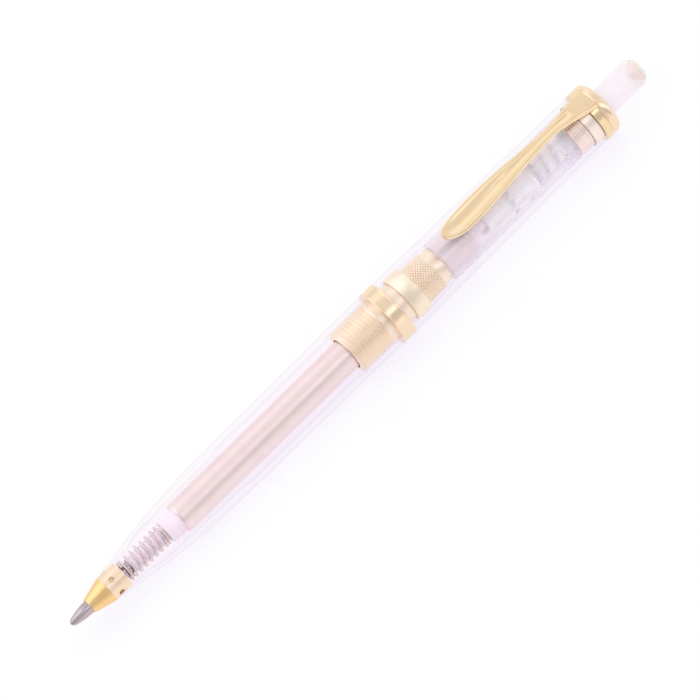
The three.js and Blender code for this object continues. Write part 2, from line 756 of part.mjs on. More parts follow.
// Cam with four ribs that ride in the housing's slots, slanted at the rear to be turned
// by the plunger's crown, and a journal that runs in the plunger's bore.
function makeIndexRotor() {
  const ribRear = rotorRear + ROTOR_RIB_OVERHANG;
  const body = turned(
    [
      [rotorFront + ROTOR_PIT_DEPTH, 0],
      [rotorFront + ROTOR_PIT_DEPTH, PLUG_VENT_RADIUS],
      [rotorFront, 2 * PLUG_VENT_RADIUS],
      [rotorFront, ROTOR_RADIUS - ROTOR_EDGE],
      [rotorFront + ROTOR_EDGE, ROTOR_RADIUS],
      [rotorRear, ROTOR_RADIUS],
      [rotorRear, JOURNAL_RADIUS],
      [rotorRear + JOURNAL_LENGTH - ROTOR_EDGE, JOURNAL_RADIUS],
      [rotorRear + JOURNAL_LENGTH, JOURNAL_RADIUS - ROTOR_EDGE],
      [rotorRear + JOURNAL_LENGTH, 0],
    ],
    CORE_FACETS,
  );
  const root = ROTOR_RADIUS - ROTOR_RIB_ROOT;
  const ribs = turnedCopies(LATCH_COUNT, (turn) => {
    const front = rotorFront + ROTOR_RIB_SETBACK;
    return bentWall(
      [
        { angle: turn - LUG_HALF_ANGLE, front, rear: ribRear - TOOTH_DEPTH },
        { angle: turn + LUG_HALF_ANGLE, front, rear: ribRear },
      ],
      root,
      LUG_RADIUS,
      false,
    );
  });
  return join(body, ribs);
}

// Plunger: a toothed crown at the front, four lugs, the spring's flange and a peg
function makeThrustTube() {
  const crownRear = latchFront + CROWN_RING_LENGTH;
  const tubeFrontStation = crownRear - CROWN_RING_OVERLAP;
  const tube = ring(
    [
      [tubeFrontStation, THRUST_BORE_RADIUS],
      [tubeFrontStation, THRUST_RADIUS],
      [thrustFlange, THRUST_RADIUS],
      [thrustFlange, LUG_RADIUS],
      [thrustFlange + THRUST_FLANGE_THICKNESS, LUG_RADIUS],
      [thrustFlange + THRUST_FLANGE_THICKNESS, THRUST_RADIUS],
      [buttonFront - FACE, THRUST_RADIUS],
      [buttonFront - FACE, BUTTON_PEG_RADIUS],
      [buttonFront + BUTTON_PEG_LENGTH, BUTTON_PEG_RADIUS],
      [buttonFront + BUTTON_PEG_LENGTH, THRUST_BORE_RADIUS / 2],
      [buttonFront - BUTTON_PEG_LENGTH, THRUST_BORE_RADIUS / 2],
      [buttonFront - BUTTON_PEG_LENGTH, THRUST_BORE_RADIUS],
    ],
    CORE_FACETS,
  );
  const toothPitch = (2 * Math.PI) / CROWN_TOOTH_COUNT;
  const teeth = turnedCopies(CROWN_TOOTH_COUNT, (turn) =>
    sawTooth(turn, turn + toothPitch, latchFront, TOOTH_DEPTH, crownRear),
  ).flat();
  const crown = bentWall(teeth, THRUST_BORE_RADIUS + CROWN_BORE_STEP, CROWN_TOOTH_RADIUS, true);
  const lugs = turnedCopies(LATCH_COUNT, (turn) => {
    const front = latchFront + LUG_SETBACK;
    const rear = front + LUG_LENGTH;
    return bentWall(
      [
        { angle: turn - LUG_HALF_ANGLE, front, rear },
        { angle: turn + LUG_HALF_ANGLE, front, rear },
      ],
      THRUST_RADIUS - LUG_ROOT,
      LUG_RADIUS,
      false,
    );
  });
  return join(tube, [crown, ...lugs]);
}

// Push button

function makePushButton() {
  const boreEnd = buttonFront + BUTTON_PEG_LENGTH + SEAT;
  const bore = BUTTON_PEG_RADIUS + FIT;
  return turned(
    [
      [boreEnd, 0],
      [boreEnd, bore],
      [buttonFront, bore],
      [buttonFront, BUTTON_RADIUS - BUTTON_EDGE],
      [buttonFront + BUTTON_EDGE, BUTTON_RADIUS],
      [capFace - BUTTON_BEVEL, BUTTON_RADIUS],
      [capFace, BUTTON_RADIUS - BUTTON_BEVEL],
      [capFace, CAP_RADIUS - CAP_SEAT],
      [capConeFront - FACE, CAP_TIP_RADIUS],
      [capConeFront - FACE, 0],
    ],
    CORE_FACETS,
  );
}

function makeButtonEndCap() {
  const bulge = BUTTON_RIM - CAP_EDGE;
  const dome = Array.from({ length: CAP_STEPS + 1 }, (_, i) => {
    const turn = (Math.PI / 2) * (i / CAP_STEPS);
    const station = penLength - bulge + bulge * Math.sin(turn);
    return [station, CAP_FLAT_RADIUS + (CAP_RADIUS - CAP_FLAT_RADIUS) * Math.cos(turn)];
  });
  return turned(
    [
      [capConeFront, 0],
      [capConeFront, CAP_TIP_RADIUS - FIT],
      [capFace + FACE, CAP_RADIUS - CAP_SEAT - 2 * FIT],
      [capFace + FACE, CAP_RADIUS],
      ...dome,
      [penLength, 0],
    ],
    CORE_FACETS,
  );
}

// Clip

function smooth(x, low, high) {
  return THREE.MathUtils.smoothstep(x, low, high);
}

// Half width at a place along the clip, measured from its root: sides that run in to the
// waist, a slow widening to the spade, and a rounded end
function clipHalf(place) {
  if (place > CLIP_SPADE_PLACE) {
    const gone = (place - CLIP_SPADE_PLACE) / (CLIP_LENGTH - CLIP_SPADE_PLACE);
    return (CLIP_SPADE_WIDTH / 2) * Math.max(1 - gone ** CLIP_END_FULLNESS, WELD) ** (1 / CLIP_END_FULLNESS);
  }
  const widening = smooth(place, CLIP_WAIST_PLACE, CLIP_SPADE_PLACE);
  const flare = Math.max(1 - place / CLIP_WAIST_PLACE, 0) ** CLIP_FLARE;
  const half = CLIP_WAIST_WIDTH + (CLIP_SPADE_WIDTH - CLIP_WAIST_WIDTH) * widening;
  return (half + (CLIP_ROOT_WIDTH - CLIP_WAIST_WIDTH) * flare) / 2;
}

// Radius of the clip's underside from the pen's axis
function clipUnderside(place) {
  const barrel = rearRadiusAt(collarEnd - place);
  const root = RING_RADIUS + SEAT;
  const arch = barrel + CLIP_ARCH_GAP;
  const touch = barrel + CLIP_TOUCH_GAP;
  if (place < CLIP_WAIST_PLACE) {
    return THREE.MathUtils.lerp(root, arch, smooth(place, CLIP_ROOT_FLAT, CLIP_WAIST_PLACE));
  }
  if (place < CLIP_TOUCH_PLACE) {
    return THREE.MathUtils.lerp(arch, touch, smooth(place, CLIP_DESCENT_PLACE, CLIP_TOUCH_PLACE));
  }
  return touch + CLIP_TIP_LIFT * smooth(place, CLIP_TOUCH_PLACE, CLIP_LENGTH);
}

// A long arm of even thickness with raised edges. Its top is folded to a V groove behind
// the root, and the groove widens into a shallow dish at the spade end.
function makeClipArm() {
  const sections = Array.from({ length: CLIP_STEPS + 1 }, (_, i) => {
    const place = FACE + (CLIP_LENGTH - FACE) * Math.sin(((Math.PI / 2) * i) / CLIP_STEPS);
    const half = clipHalf(place);
    const under = clipUnderside(place);
    const thick = THREE.MathUtils.lerp(CLIP_THICKNESS, CLIP_TIP_THICKNESS, smooth(place, 0, CLIP_LENGTH));
    const opening = smooth(place, CLIP_GROOVE_START, CLIP_GROOVE_START + CLIP_GROOVE_RAMP);
    const fading = 1 - CLIP_GROOVE_FADE * smooth(place, CLIP_WAIST_PLACE, CLIP_TOUCH_PLACE);
    const ending = 1 - smooth(place, CLIP_LENGTH - CLIP_GROOVE_STOP, CLIP_LENGTH);
    const depth = CLIP_GROOVE_DEPTH * opening * fading * ending;
    const spread = smooth(place, CLIP_GROOVE_START, CLIP_GROOVE_SPREAD_PLACE);
    const reach = half * THREE.MathUtils.lerp(CLIP_GROOVE_REACH, 1 - CLIP_EDGE, spread);
    const edge = half * (1 - CLIP_EDGE / 2);
    const flat = half * (1 - CLIP_UNDER_BEVEL);
    const side = under + CLIP_UNDER_BEVEL_HEIGHT * thick;
    const top = under + thick;
    const halfway = top - CLIP_GROOVE_HALFWAY * depth;
    return {
      station: collarEnd - place,
      outline: [
        [-half, side],
        [-flat, under],
        [flat, under],
        [half, side],
        [half, top - CLIP_TOP_BEVEL],
        [edge, top],
        [reach, top],
        [reach / 2, halfway],
        [0, top - depth],
        [-reach / 2, halfway],
        [-reach, top],
        [-edge, top],
        [-half, top - CLIP_TOP_BEVEL],
      ],
    };
  });
  const count = sections[0].outline.length;
  const points = sections.flatMap(({ station, outline }) => outline.map(([y, z]) => [station, y, z]));
  const faces = [];
  for (let i = 0; i < sections.length - 1; i++) {
    for (let k = 0; k < count; k++) {
      const next = (k + 1) % count;
      const p = i * count;
      const q = p + count;
      faces.push([p + k, q + k, q + next, p + next]);
    }
  }
  const section = sections[0].outline.map(([y, z]) => new THREE.Vector2(y, z));
  const cap = THREE.ShapeUtils.triangulateShape(section, []);
  const last = (sections.length - 1) * count;
  cap.forEach(([a, b, c]) => {
    faces.push([a, b, c]);
    faces.push([last + a, last + c, last + b]);
  });
  return shell(points, faces);
}

// Materials

function finish(color, roughness, metalness, opacity = 1) {
  return new THREE.MeshStandardMaterial({ color, roughness, metalness, opacity, transparent: opacity < 1 });
}

const clearPlastic = finish(0xf3e6f4, 0.08, 0, 0.35);
const milkyPlastic = finish(0xf2eaf4, 0.3, 0, 0.6);
const palePlastic = finish(0xf0dfe6, 0.35, 0, 0.85);
const gold = finish(0xe8c069, 0.12, 1);
const brass = finish(0xdcb15a, 0.25, 1);
const steel = finish(0xb9b6b4, 0.22, 1);
const tubeMetal = finish(0xc2a98f, 0.35, 1);
const springWire = finish(0x8e8b90, 0.25, 1);

const returnSpring = coil({
  from: shankEnd + SEAT,
  to: SHOULDER_STATION - SEAT,
  radius: RETURN_COIL_RADIUS,
  wire: RETURN_WIRE,
  pitch: RETURN_PITCH,
});
const buttonSpring = coil({
  from: buttonSpringFront,
  to: buttonSpringRear,
  radius: BUTTON_COIL_RADIUS,
  wire: BUTTON_WIRE,
  pitch: BUTTON_PITCH,
});
console.log('least gap in return_spring, mm:', leastGap(returnSpring).toFixed(3));
console.log('least gap in button_spring, mm:', leastGap(buttonSpring).toFixed(3));

// Assembly

const pen = new THREE.Group();
pen.position.set(-penLength / 2, 0, BAND_RADIUS * Math.cos(Math.PI / SHELL_FACETS));

function place(name, geometry, material) {
  const mesh = new THREE.Mesh(geometry, material);
  mesh.name = name;
  pen.add(mesh);
}

place('writing_ball', makeWritingBall(), steel);
place('refill_tip', makeRefillTip(), steel);
place('refill_shoulder', makeRefillShoulder(), palePlastic);
place('refill_tube', makeRefillTube(), tubeMetal);
place('refill_end_plug', makeRefillEndPlug(), palePlastic);
place('nose_cone', makeNoseCone(), gold);
place('front_barrel', makeFrontBarrel(), clearPlastic);
place('return_spring', returnSpring.geometry, springWire);
place('thread_sleeve', makeThreadSleeve(), brass);
place('centre_band', makeCentreBand(), gold);
place('knurled_sleeve', makeKnurledSleeve(), brass);
place('rear_barrel', makeRearBarrel(), clearPlastic);
place('mechanism_housing', makeMechanismHousing(), milkyPlastic);
place('index_rotor', makeIndexRotor(), milkyPlastic);
place('thrust_tube', makeThrustTube(), milkyPlastic);
place('button_spring', buttonSpring.geometry, springWire);
place('top_bushing', makeTopBushing(), gold);
place('clip_collar', makeClipCollar(), gold);
place('clip_arm', makeClipArm(), gold);
place('crown_ring', makeCrownRing(), gold);
place('push_button', makePushButton(), clearPlastic);
place('button_end_cap', makeButtonEndCap(), gold);

const model = new THREE.Group();
model.add(pen);

export default model;
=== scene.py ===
# Looks of a clear click-action ballpoint pen with gold trim, built round its plain solids.
# The pen lies along X with its point towards -X and its clip up. Sizes are in millimetres
# and become metres when a mesh is made. A station is a distance along the pen's axis from
# the foremost point of the writing ball, and angle 0 round the axis is straight up.
from math import cos, dist, exp, hypot, pi, radians, sin, sqrt

import bmesh
import bpy
from mathutils import Matrix, Vector


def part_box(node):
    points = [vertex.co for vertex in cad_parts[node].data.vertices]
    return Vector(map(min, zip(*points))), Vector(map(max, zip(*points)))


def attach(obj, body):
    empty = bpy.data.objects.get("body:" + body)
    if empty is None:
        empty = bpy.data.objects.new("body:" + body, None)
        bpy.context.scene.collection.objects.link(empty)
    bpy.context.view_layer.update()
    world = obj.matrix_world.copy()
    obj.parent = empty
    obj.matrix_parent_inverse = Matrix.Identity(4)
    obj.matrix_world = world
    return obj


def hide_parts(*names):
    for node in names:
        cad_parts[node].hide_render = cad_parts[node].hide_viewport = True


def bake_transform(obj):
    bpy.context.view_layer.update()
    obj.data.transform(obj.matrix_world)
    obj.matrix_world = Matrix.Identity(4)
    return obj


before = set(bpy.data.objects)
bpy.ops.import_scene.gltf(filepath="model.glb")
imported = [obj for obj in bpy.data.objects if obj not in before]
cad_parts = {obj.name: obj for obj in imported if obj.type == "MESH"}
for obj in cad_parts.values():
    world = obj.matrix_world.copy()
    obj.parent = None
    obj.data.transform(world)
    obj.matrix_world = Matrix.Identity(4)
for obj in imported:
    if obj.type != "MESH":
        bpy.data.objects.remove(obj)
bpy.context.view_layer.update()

MM = 0.001
TURN = 2 * pi
TIP_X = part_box("writing_ball")[0].x
AXIS_Z = sum(corner.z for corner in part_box("push_button")) / 2


def ends(solid):
    """Stations of a solid's front and rear ends."""
    return [(corner.x - TIP_X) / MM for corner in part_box(solid)]


def outer(solid):
    low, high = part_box(solid)
    return (high.y - low.y) / 2 / MM


def on_axis(station):
    return (TIP_X + station * MM, 0, AXIS_Z)


# Fineness of the meshes
ROUND = 96  # faces round a turned piece
SLIM_ROUND = 64  # round a slim one
WIDE_ROUND = 128  # round a wide ring
ARC_STEPS = 3  # faces in a small rounded edge
EDGE = 0.06  # radius of a lightly broken edge
THREAD_RINGS = 12  # in a pitch of the thread
FINE_RINGS = 8  # in a pitch of the fine thread or the knurl
WALL_STEP = 2  # distance between the rings of a clear wall
WALL_ROUND = 256  # faces round a clear wall
HOLD = 0.03  # distance from a run's end of the point that keeps it straight
FIT = 0.05  # gap between pieces that are fixed to each other
CONTACT = 0.02  # overlap of metal and the resin moulded round it

# Stations and outer radii of the plain solids
nose_front, shank_end = ends("nose_cone")
barrel_front, barrel_end = ends("front_barrel")
tube_front, tube_end = ends("refill_tube")
band_front, band_end = ends("centre_band")
thread_front, spigot_end = ends("thread_sleeve")
flange_front, knurled_end = ends("knurled_sleeve")
housing_front, housing_rear = ends("mechanism_housing")
rear_front, rear_end = ends("rear_barrel")
bushing_front, bushing_rear = ends("top_bushing")
collar_front, collar_end = ends("clip_collar")
crown_front, crown_end = ends("crown_ring")
button_front, button_rim = ends("push_button")
cone_front, pen_end = ends("button_end_cap")

barrel_radius = outer("front_barrel")
ring_radius = outer("clip_collar")
tube_radius = outer("refill_tube")
housing_radius = outer("mechanism_housing")
button_radius = outer("push_button")

# Refill
STEM_RADIUS = 1.22
POINT_LIP = (0.3, 0.6)  # station and radius of the rolled lip that holds the ball
POINT_RINGS = ((0.95, 0.79), (1.75, 0.99), (2.6, 1.13), (3.4, 1.2))  # of its curved cone
POINT_CONE_END = 3.9
BALL_STEPS = 24
BALL_SOCKET_RADIUS = 0.44  # at the lip
BALL_SOCKET_DEPTH = 1.1
BALL_SEAT = (0.55, 0.53)  # station and radius of the socket's widest ring
INK_DUCT_RADIUS = 0.3
NECK_RADIUS = 1.5
NECK_BORE = 0.9
STEM_SEAT = 1.2  # length of the stem inside the neck
SHOULDER_START = 22.3
SHOULDER_RADIUS = 2.45
TUBE_WALL = 0.25
TUBE_SPIGOT = 3.4
TUBE_SPIGOT_RADIUS = tube_radius - TUBE_WALL - FIT
PLUG_NOTCHES = 6
PLUG_NOTCH_DEPTH = 1.3
PLUG_NOTCH_SPACING = 1.4  # half the notches' pitch in notch widths
VENT_RADIUS = 0.7

# Nose
NOSE_LIP_RADIUS = 1.43
NOSE_BORE_RADIUS = 1.31
BARREL_NOSE_RADIUS = 2.56
SHANK_RADIUS = 2.48  # as wide as the clear wall makes the shank look
SHANK_HOLES = 5
SHANK_HOLE_RADIUS = 0.55
SHANK_HOLE_SIDES = 32
SHANK_HOLE_PLACE = 1.4  # behind the barrel's front edge
SHANK_HOLE_TURN = radians(-11.6)

# Front barrel
NOSE_CONE_SLOPE = 0.146
BODY_TAPER_SLOPE = 0.0078
OGIVE_REACH = 9
OGIVE_STEPS = 24
SPRING_BORE_RADIUS = 2.7
SPRING_BORE_LENGTH = 5
FUNNEL_FRONT_RADIUS = 3.5
FUNNEL_REAR_RADIUS = 3.9
FUNNEL_LENGTH = 20.9
FUNNEL_BLEND = 0.8
BORE_SLOPE = 1.6  # half the slope's length from the spring bore to the funnel
THREAD_LEAD_IN = 1.6
BODY_BORE_RADIUS = 4.25

# Springs
RETURN_WIRE = 0.4
RETURN_RADIUS = 1.93
RETURN_TURNS = 9
BUTTON_WIRE = 0.45
BUTTON_COIL_RADIUS = 2.83
BUTTON_TURNS = 5.2
WIRE_SIDES = 10
STEPS_PER_TURN = 28
CLOSED_TURNS = 1.1  # at each end of a spring
CLOSED_PITCH = 1.05  # of the closed turns, in wire diameters
SPRING_SEAT = 0.3

# Brass joint
THREAD_RADIUS = 4.42
THREAD_PITCH = 0.8
THREAD_DEPTH = 0.34
THREAD_CREST = 0.15  # share of half a pitch
THREAD_FLANK = 0.7
THREAD_PLAY = 0.1
THREAD_RELIEF = 1  # plain neck behind the thread
SLEEVE_BORE = 3.2
SPIGOT_RADIUS = 3.9
FLANGE_LENGTH = 3.4
FLANGE_RADIUS = 4.45
KNURL_RADIUS = 3.74
KNURL_LENGTH = 4.1
KNURL_DEPTH = 0.3
KNURLS_ROUND = 36
KNURL_ROWS = 7
KNURL_FADE = 0.2  # length where it runs out at each end
SLEEVE_END_RADIUS = 3.42
BAND_BEAD = 0.28  # width of the plain bead along each edge of the band
BAND_SINK = 0.07  # depth of the band's field between its beads

# Rear barrel and its end
REAR_LIP_LENGTH = 0.35
REAR_LIP_SINK = 0.14
FLANGE_BORE = 4.43
HOUSING_BORE = 4.1
REAR_FRONT_RADIUS = 5.52
REAR_END_RADIUS = 5.02
COUNTERBORE_RADIUS = 4.39
BUSHING_FLANGE_RADIUS = 4.41
BUSHING_FLANGE_LENGTH = 2
BUSHING_NECK_RADIUS = 3.55
BUSHING_THREAD_DEPTH = 0.16
BUSHING_THREAD_PITCH = 0.5
BUSHING_BORE = 2.6
BUTTON_BORE = 2.86
CROWN_SHOULDER_RADIUS = 4.15
CROWN_STEPS = 14

# Click mechanism
GUIDE_BORE = 3.45
GUIDE_COLLAR_LENGTH = 2.6
GUIDE_COLLAR_BORE = 3.2
GUIDE_RIB_RADIUS = 2.8
LATCH_FRONT = 104.2
GUIDE_RIB_LENGTH = 3.6
LATCH_COUNT = 4
SLOT_HALF_ANGLE = radians(14)
LUG_HALF_ANGLE = radians(10.5)
TOOTH_DRAFT = radians(3)
TOOTH_DEPTH = 0.8
LUG_RADIUS = 3.26
LUG_LENGTH = 2.5
LUG_SETBACK = 0.7
CROWN_TEETH = 8
CROWN_TOOTH_RADIUS = 2.58
CROWN_RING_LENGTH = 2.2
THRUST_RADIUS = 2.28
THRUST_BORE = 1.62
THRUST_FLANGE_STATION = 109.3
THRUST_FLANGE_THICKNESS = 0.6
ROTOR_RADIUS = 2.38
ROTOR_LENGTH = 5.2
ROTOR_RIB_SETBACK = 1.2
ROTOR_RIB_OVERHANG = 0.2
JOURNAL_RADIUS = 1.43
JOURNAL_LENGTH = 2.4
WINDOW_WIDTH = 2.4
WINDOW_LENGTH = 7
PEG_RADIUS = 1.68
PEG_LENGTH = 5.6

# Button
CAP_RADIUS = 2.28
CAP_TIP_RADIUS = 0.45
CAP_FLAT_RADIUS = 1.25
LENS_STEPS = 10
DISC_THICKNESS = 0.15
DISC_RIM = 0.15  # width of the lens that comes down round the disc
BUTTON_BEVEL = 0.3

# Clip, with places along it measured from its root at the collar's rear face
CLIP_LENGTH = collar_end - ends("clip_arm")[0]
CLIP_ROOT_WIDTH = 5
CLIP_WEB_ANGLE = 0.42  # half the turn over which the arm is joined to its collar, in radians
CLIP_WAIST_WIDTH = 2.1
CLIP_WAIST_PLACE = 8.4
CLIP_FLARE = 1.25  # 1 for straight sides from the root to the waist
CLIP_SPADE_WIDTH = 4.4
CLIP_SPADE_PLACE = 28
CLIP_END_FULLNESS = 2.5  # 2 for an elliptical end
CLIP_ROOT_GAP = 0.3
CLIP_THICKNESS = 1.1
CLIP_TIP_THICKNESS = 1
CLIP_ARCH_GAP = 1.15
CLIP_ARCH_START = 1.5
CLIP_TOUCH_PLACE = 31.5
CLIP_DESCENT_PLACE = 17.5  # where the arch starts to come down
CLIP_TOUCH_GAP = 0.3
CLIP_TIP_LIFT = 0.55
CLIP_ROOT_CURVE = 0.15  # share of the collar's curve in the arm's root
CLIP_FLAT_PLACE = 6.5  # where that curve has run out
CLIP_STEPS = 150
CLIP_SIDE_STEPS = 32  # points over half of the top
CREASE_START = 3.6
CREASE_FULL = 5.6  # place where the fold has its whole depth
CREASE_SOFTENS = 13  # place where the fold starts to widen into a dish
CREASE_END = 24
CREASE_TIP_FADE = 2.2  # length before the tip
CREASE_SLOPE = 0.32  # of the two facets beside the fold
CREASE_SHARPNESS = 0.03  # half width of the fold, as a share of the clip's
DISH_SOFTNESS = 0.9  # the same where the fold has become a shallow dish
RIDGE_HEIGHT = 0.2  # of the fine ridge that runs along the fold
RIDGE_WIDTH = 0.19
RIDGE_ASIDE = 0.25
RIDGE_FADE = 17  # place where it starts to run out
CLIP_CHAMFER = 0.5  # width along both edges of the top
CLIP_CHAMFER_DROP = 0.33
CLIP_WALL_SLANT = 0.22  # by which the clip is narrower at the chamfer than at its underside


# Mesh making


def new_object(name, data):
    made = bpy.data.objects.new(name, data)
    bpy.context.scene.collection.objects.link(made)
    return made


def mesh_object(name, points, faces, sharp=35):
    mesh = bpy.data.meshes.new(name)
    mesh.from_pydata([(TIP_X + s * MM, y * MM, AXIS_Z + z * MM) for s, y, z in points], [], faces)
    mesh.validate()
    shaped = bmesh.new()
    shaped.from_mesh(mesh)
    bmesh.ops.recalc_face_normals(shaped, faces=shaped.faces)
    shaped.to_mesh(mesh)
    shaped.free()
    shade(mesh, sharp)
    return new_object(name, mesh)


def shade(mesh, sharp):
    mesh.shade_smooth()
    mesh.set_sharp_from_angle(angle=radians(sharp))


def around(station, radius, angle):
    return (station, radius * sin(angle), radius * cos(angle))


def rolled(y, z, turn):
    """A place across the pen after a turn about its axis."""
    return (y * cos(turn) + z * sin(turn), z * cos(turn) - y * sin(turn))


def smooth(x, low, high):
    t = min(max((x - low) / (high - low), 0), 1)
    return t * t * (3 - 2 * t)


def mix(a, b, t):
    return a + (b - a) * t


def partway(start, end, t):
    return (mix(start[0], end[0], t), mix(start[1], end[1], t))


def curve(start, control, end, steps):
    """Places on a quadratic curve."""
    places = []
    for k in range(steps + 1):
        t = k / steps
        places.append(start * (1 - t) ** 2 + control * 2 * t * (1 - t) + end * t**2)
    return places


def dome(start, end, shoulder, widest, steps):
    """Corners of a rounded end, which narrows from its widest radius to its shoulder."""
    corners = []
    for k in range(steps + 1):
        turn = pi / 2 * k / steps
        corners.append((mix(start, end, sin(turn)), mix(shoulder, widest, cos(turn)), 0))
    return corners


def held(outline):
    """The outline with points near the ends of its long runs, so that these are shaded straight."""
    result = []
    for point, ahead in zip(outline, outline[1:] + outline[:1]):
        result.append(point)
        length = dist(point, ahead)
        if length > 4 * HOLD and point[1] and ahead[1]:
            result += [partway(point, ahead, share) for share in (HOLD / length, 1 - HOLD / length)]
    return result


def rounded(corners):
    """The closed outline of corners, each a station, a radius and its edge's radius, or else EDGE."""
    outline = []
    for i, (station, radius, *given) in enumerate(corners):
        edge = given[0] if given else EDGE
        here = Vector((station, radius))
        back = Vector(corners[i - 1][:2]) - here
        ahead = Vector(corners[(i + 1) % len(corners)][:2]) - here
        reach = min(edge, 0.45 * back.length, 0.45 * ahead.length)
        if reach < 1e-3 or radius == 0:
            outline.append((station, radius))
            continue
        start = here + back.normalized() * reach
        end = here + ahead.normalized() * reach
        outline += [tuple(place) for place in curve(start, here, end, ARC_STEPS)]
    return held(outline)


def fine(outline):
    """The outline with its long runs parted, so that a long wall has no sliver faces."""
    result = []
    for point, ahead in zip(outline, outline[1:] + outline[:1]):
        parts = max(1, round(dist(point, ahead) / WALL_STEP))
        result += [partway(point, ahead, k / parts) for k in range(parts)]
    return result


def turned(name, outline, segments=ROUND, sharp=35, relief=None):
    """A solid turned about the pen's axis. Its outline runs along the outer side towards the rear
    and comes back along the bore, or starts and ends on the axis. relief(station, radius, angle)
    gives what is added to the radius."""
    points = []
    rings = []
    for station, radius in outline:
        if radius == 0:
            rings.append([len(points)] * segments)
            points.append((station, 0, 0))
            continue
        first = len(points)
        for k in range(segments):
            angle = TURN * k / segments
            extra = relief(station, radius, angle) if relief else 0
            points.append(around(station, radius + extra, angle))
        rings.append([first + k for k in range(segments)])
    faces = []
    for ring, ahead in zip(rings, rings[1:] + rings[:1]):
        for k in range(segments):
            n = (k + 1) % segments
            corners = list(dict.fromkeys([ring[k], ring[n], ahead[n], ahead[k]]))
            if len(corners) > 2:
                faces.append(corners)
    return mesh_object(name, points, faces, sharp)


def stations(start, end, step):
    count = max(2, round((end - start) / step))
    return [start + (end - start) * k / count for k in range(count + 1)]


def tube_faces(rings, sides, closed=False):
    """Faces of a tube from ring to ring. It has end faces or closes on itself."""
    faces = []
    for i in range(rings if closed else rings - 1):
        p = i * sides
        q = (i + 1) % rings * sides
        for k in range(sides):
            n = (k + 1) % sides
            faces.append([p + k, p + n, q + n, q + k])
    if not closed:
        last = (rings - 1) * sides
        faces += [list(reversed(range(sides))), [last + k for k in range(sides)]]
    return faces


def bent_wall(sections, inner, outer_radius, closed=False):
    """A wall between two radii. Its sections are (angle, front station, rear station)."""
    points = []
    for angle, wall_front, wall_rear in sections:
        points += [
            around(wall_front, inner, angle),
            around(wall_front, outer_radius, angle),
            around(wall_rear, outer_radius, angle),
            around(wall_rear, inner, angle),
        ]
    return mesh_object("bent_wall", points, tube_faces(len(sections), 4, closed))


def block(centre, size, turn):
    """A plain block turned about the pen's axis, used to cut windows and notches."""
    points = []
    for dx in (-0.5, 0.5):
        for dy in (-0.5, 0.5):
            for dz in (-0.5, 0.5):
                across = rolled(centre[1] + dy * size[1], centre[2] + dz * size[2], turn)
                points.append((centre[0] + dx * size[0], *across))
    faces = [[0, 1, 3, 2], [4, 6, 7, 5], [0, 4, 5, 1], [2, 3, 7, 6], [0, 2, 6, 4], [1, 5, 7, 3]]
    return mesh_object("block", points, faces)


def combined(piece, others, operation, sharp=35):
    """The piece after the others are cut from it or joined to it."""
    for other in others:
        modifier = piece.modifiers.new(operation, "BOOLEAN")
        modifier.operation = operation
        modifier.solver = "EXACT"
        modifier.object = other
    graph = bpy.context.evaluated_depsgraph_get()
    mesh = bpy.data.meshes.new_from_object(piece.evaluated_get(graph))
    piece.modifiers.clear()
    piece.data = mesh
    for other in others:
        bpy.data.objects.remove(other)
    shade(mesh, sharp)
    return piece


def coil(name, start, end, radius, wire, turns):
    """A wire spring with closed ends, between two seats."""
    closed_turn = CLOSED_PITCH * wire
    live = turns - 2 * CLOSED_TURNS
    rise = (end - start - wire - 2 * CLOSED_TURNS * closed_turn) / live
    steps = round(turns * STEPS_PER_TURN)

    def centre(turn):
        station = start + wire / 2 + closed_turn * min(turn, CLOSED_TURNS)
        station += rise * min(max(turn - CLOSED_TURNS, 0), live)
        station += closed_turn * max(turn - CLOSED_TURNS - live, 0)
        return Vector(around(station, radius, TURN * turn))

    points = []
    for i in range(steps + 1):
        turn = turns * i / steps
        here = centre(turn)
        along = (centre(min(turn + 0.01, turns)) - centre(max(turn - 0.01, 0))).normalized()
        outward = Vector(around(0, 1, TURN * turn))
        across = along.cross(outward).normalized()
        for k in range(WIRE_SIDES):
            bend = TURN * k / WIRE_SIDES
            points.append(here + (outward * cos(bend) + across * sin(bend)) * wire / 2)
    return mesh_object(name, points, tube_faces(steps + 1, WIRE_SIDES), 60)


# Refill


def make_ball():
    radius = outer("writing_ball")
    outline = []
    for k in range(BALL_STEPS + 1):
        turn = pi * k / BALL_STEPS
        ring = 0 if k in (0, BALL_STEPS) else radius * sin(turn)
        outline.append((radius * (1 - cos(turn)), ring))
    return turned("ball", outline, 2 * BALL_STEPS)


def make_point():
    stem_end = ends("refill_tip")[1]
    corners = [
        (POINT_LIP[0], BALL_SOCKET_RADIUS, 0.02),
        (*POINT_LIP, 0.06),
        *[(station, radius, 0.3) for station, radius in POINT_RINGS],
        (POINT_CONE_END, STEM_RADIUS, 0.2),
        (stem_end, STEM_RADIUS),
        (stem_end, INK_DUCT_RADIUS, 0),
        (BALL_SOCKET_DEPTH, INK_DUCT_RADIUS, 0),
        (*BALL_SEAT, 0),
    ]
    return turned("point", rounded(corners), SLIM_ROUND)


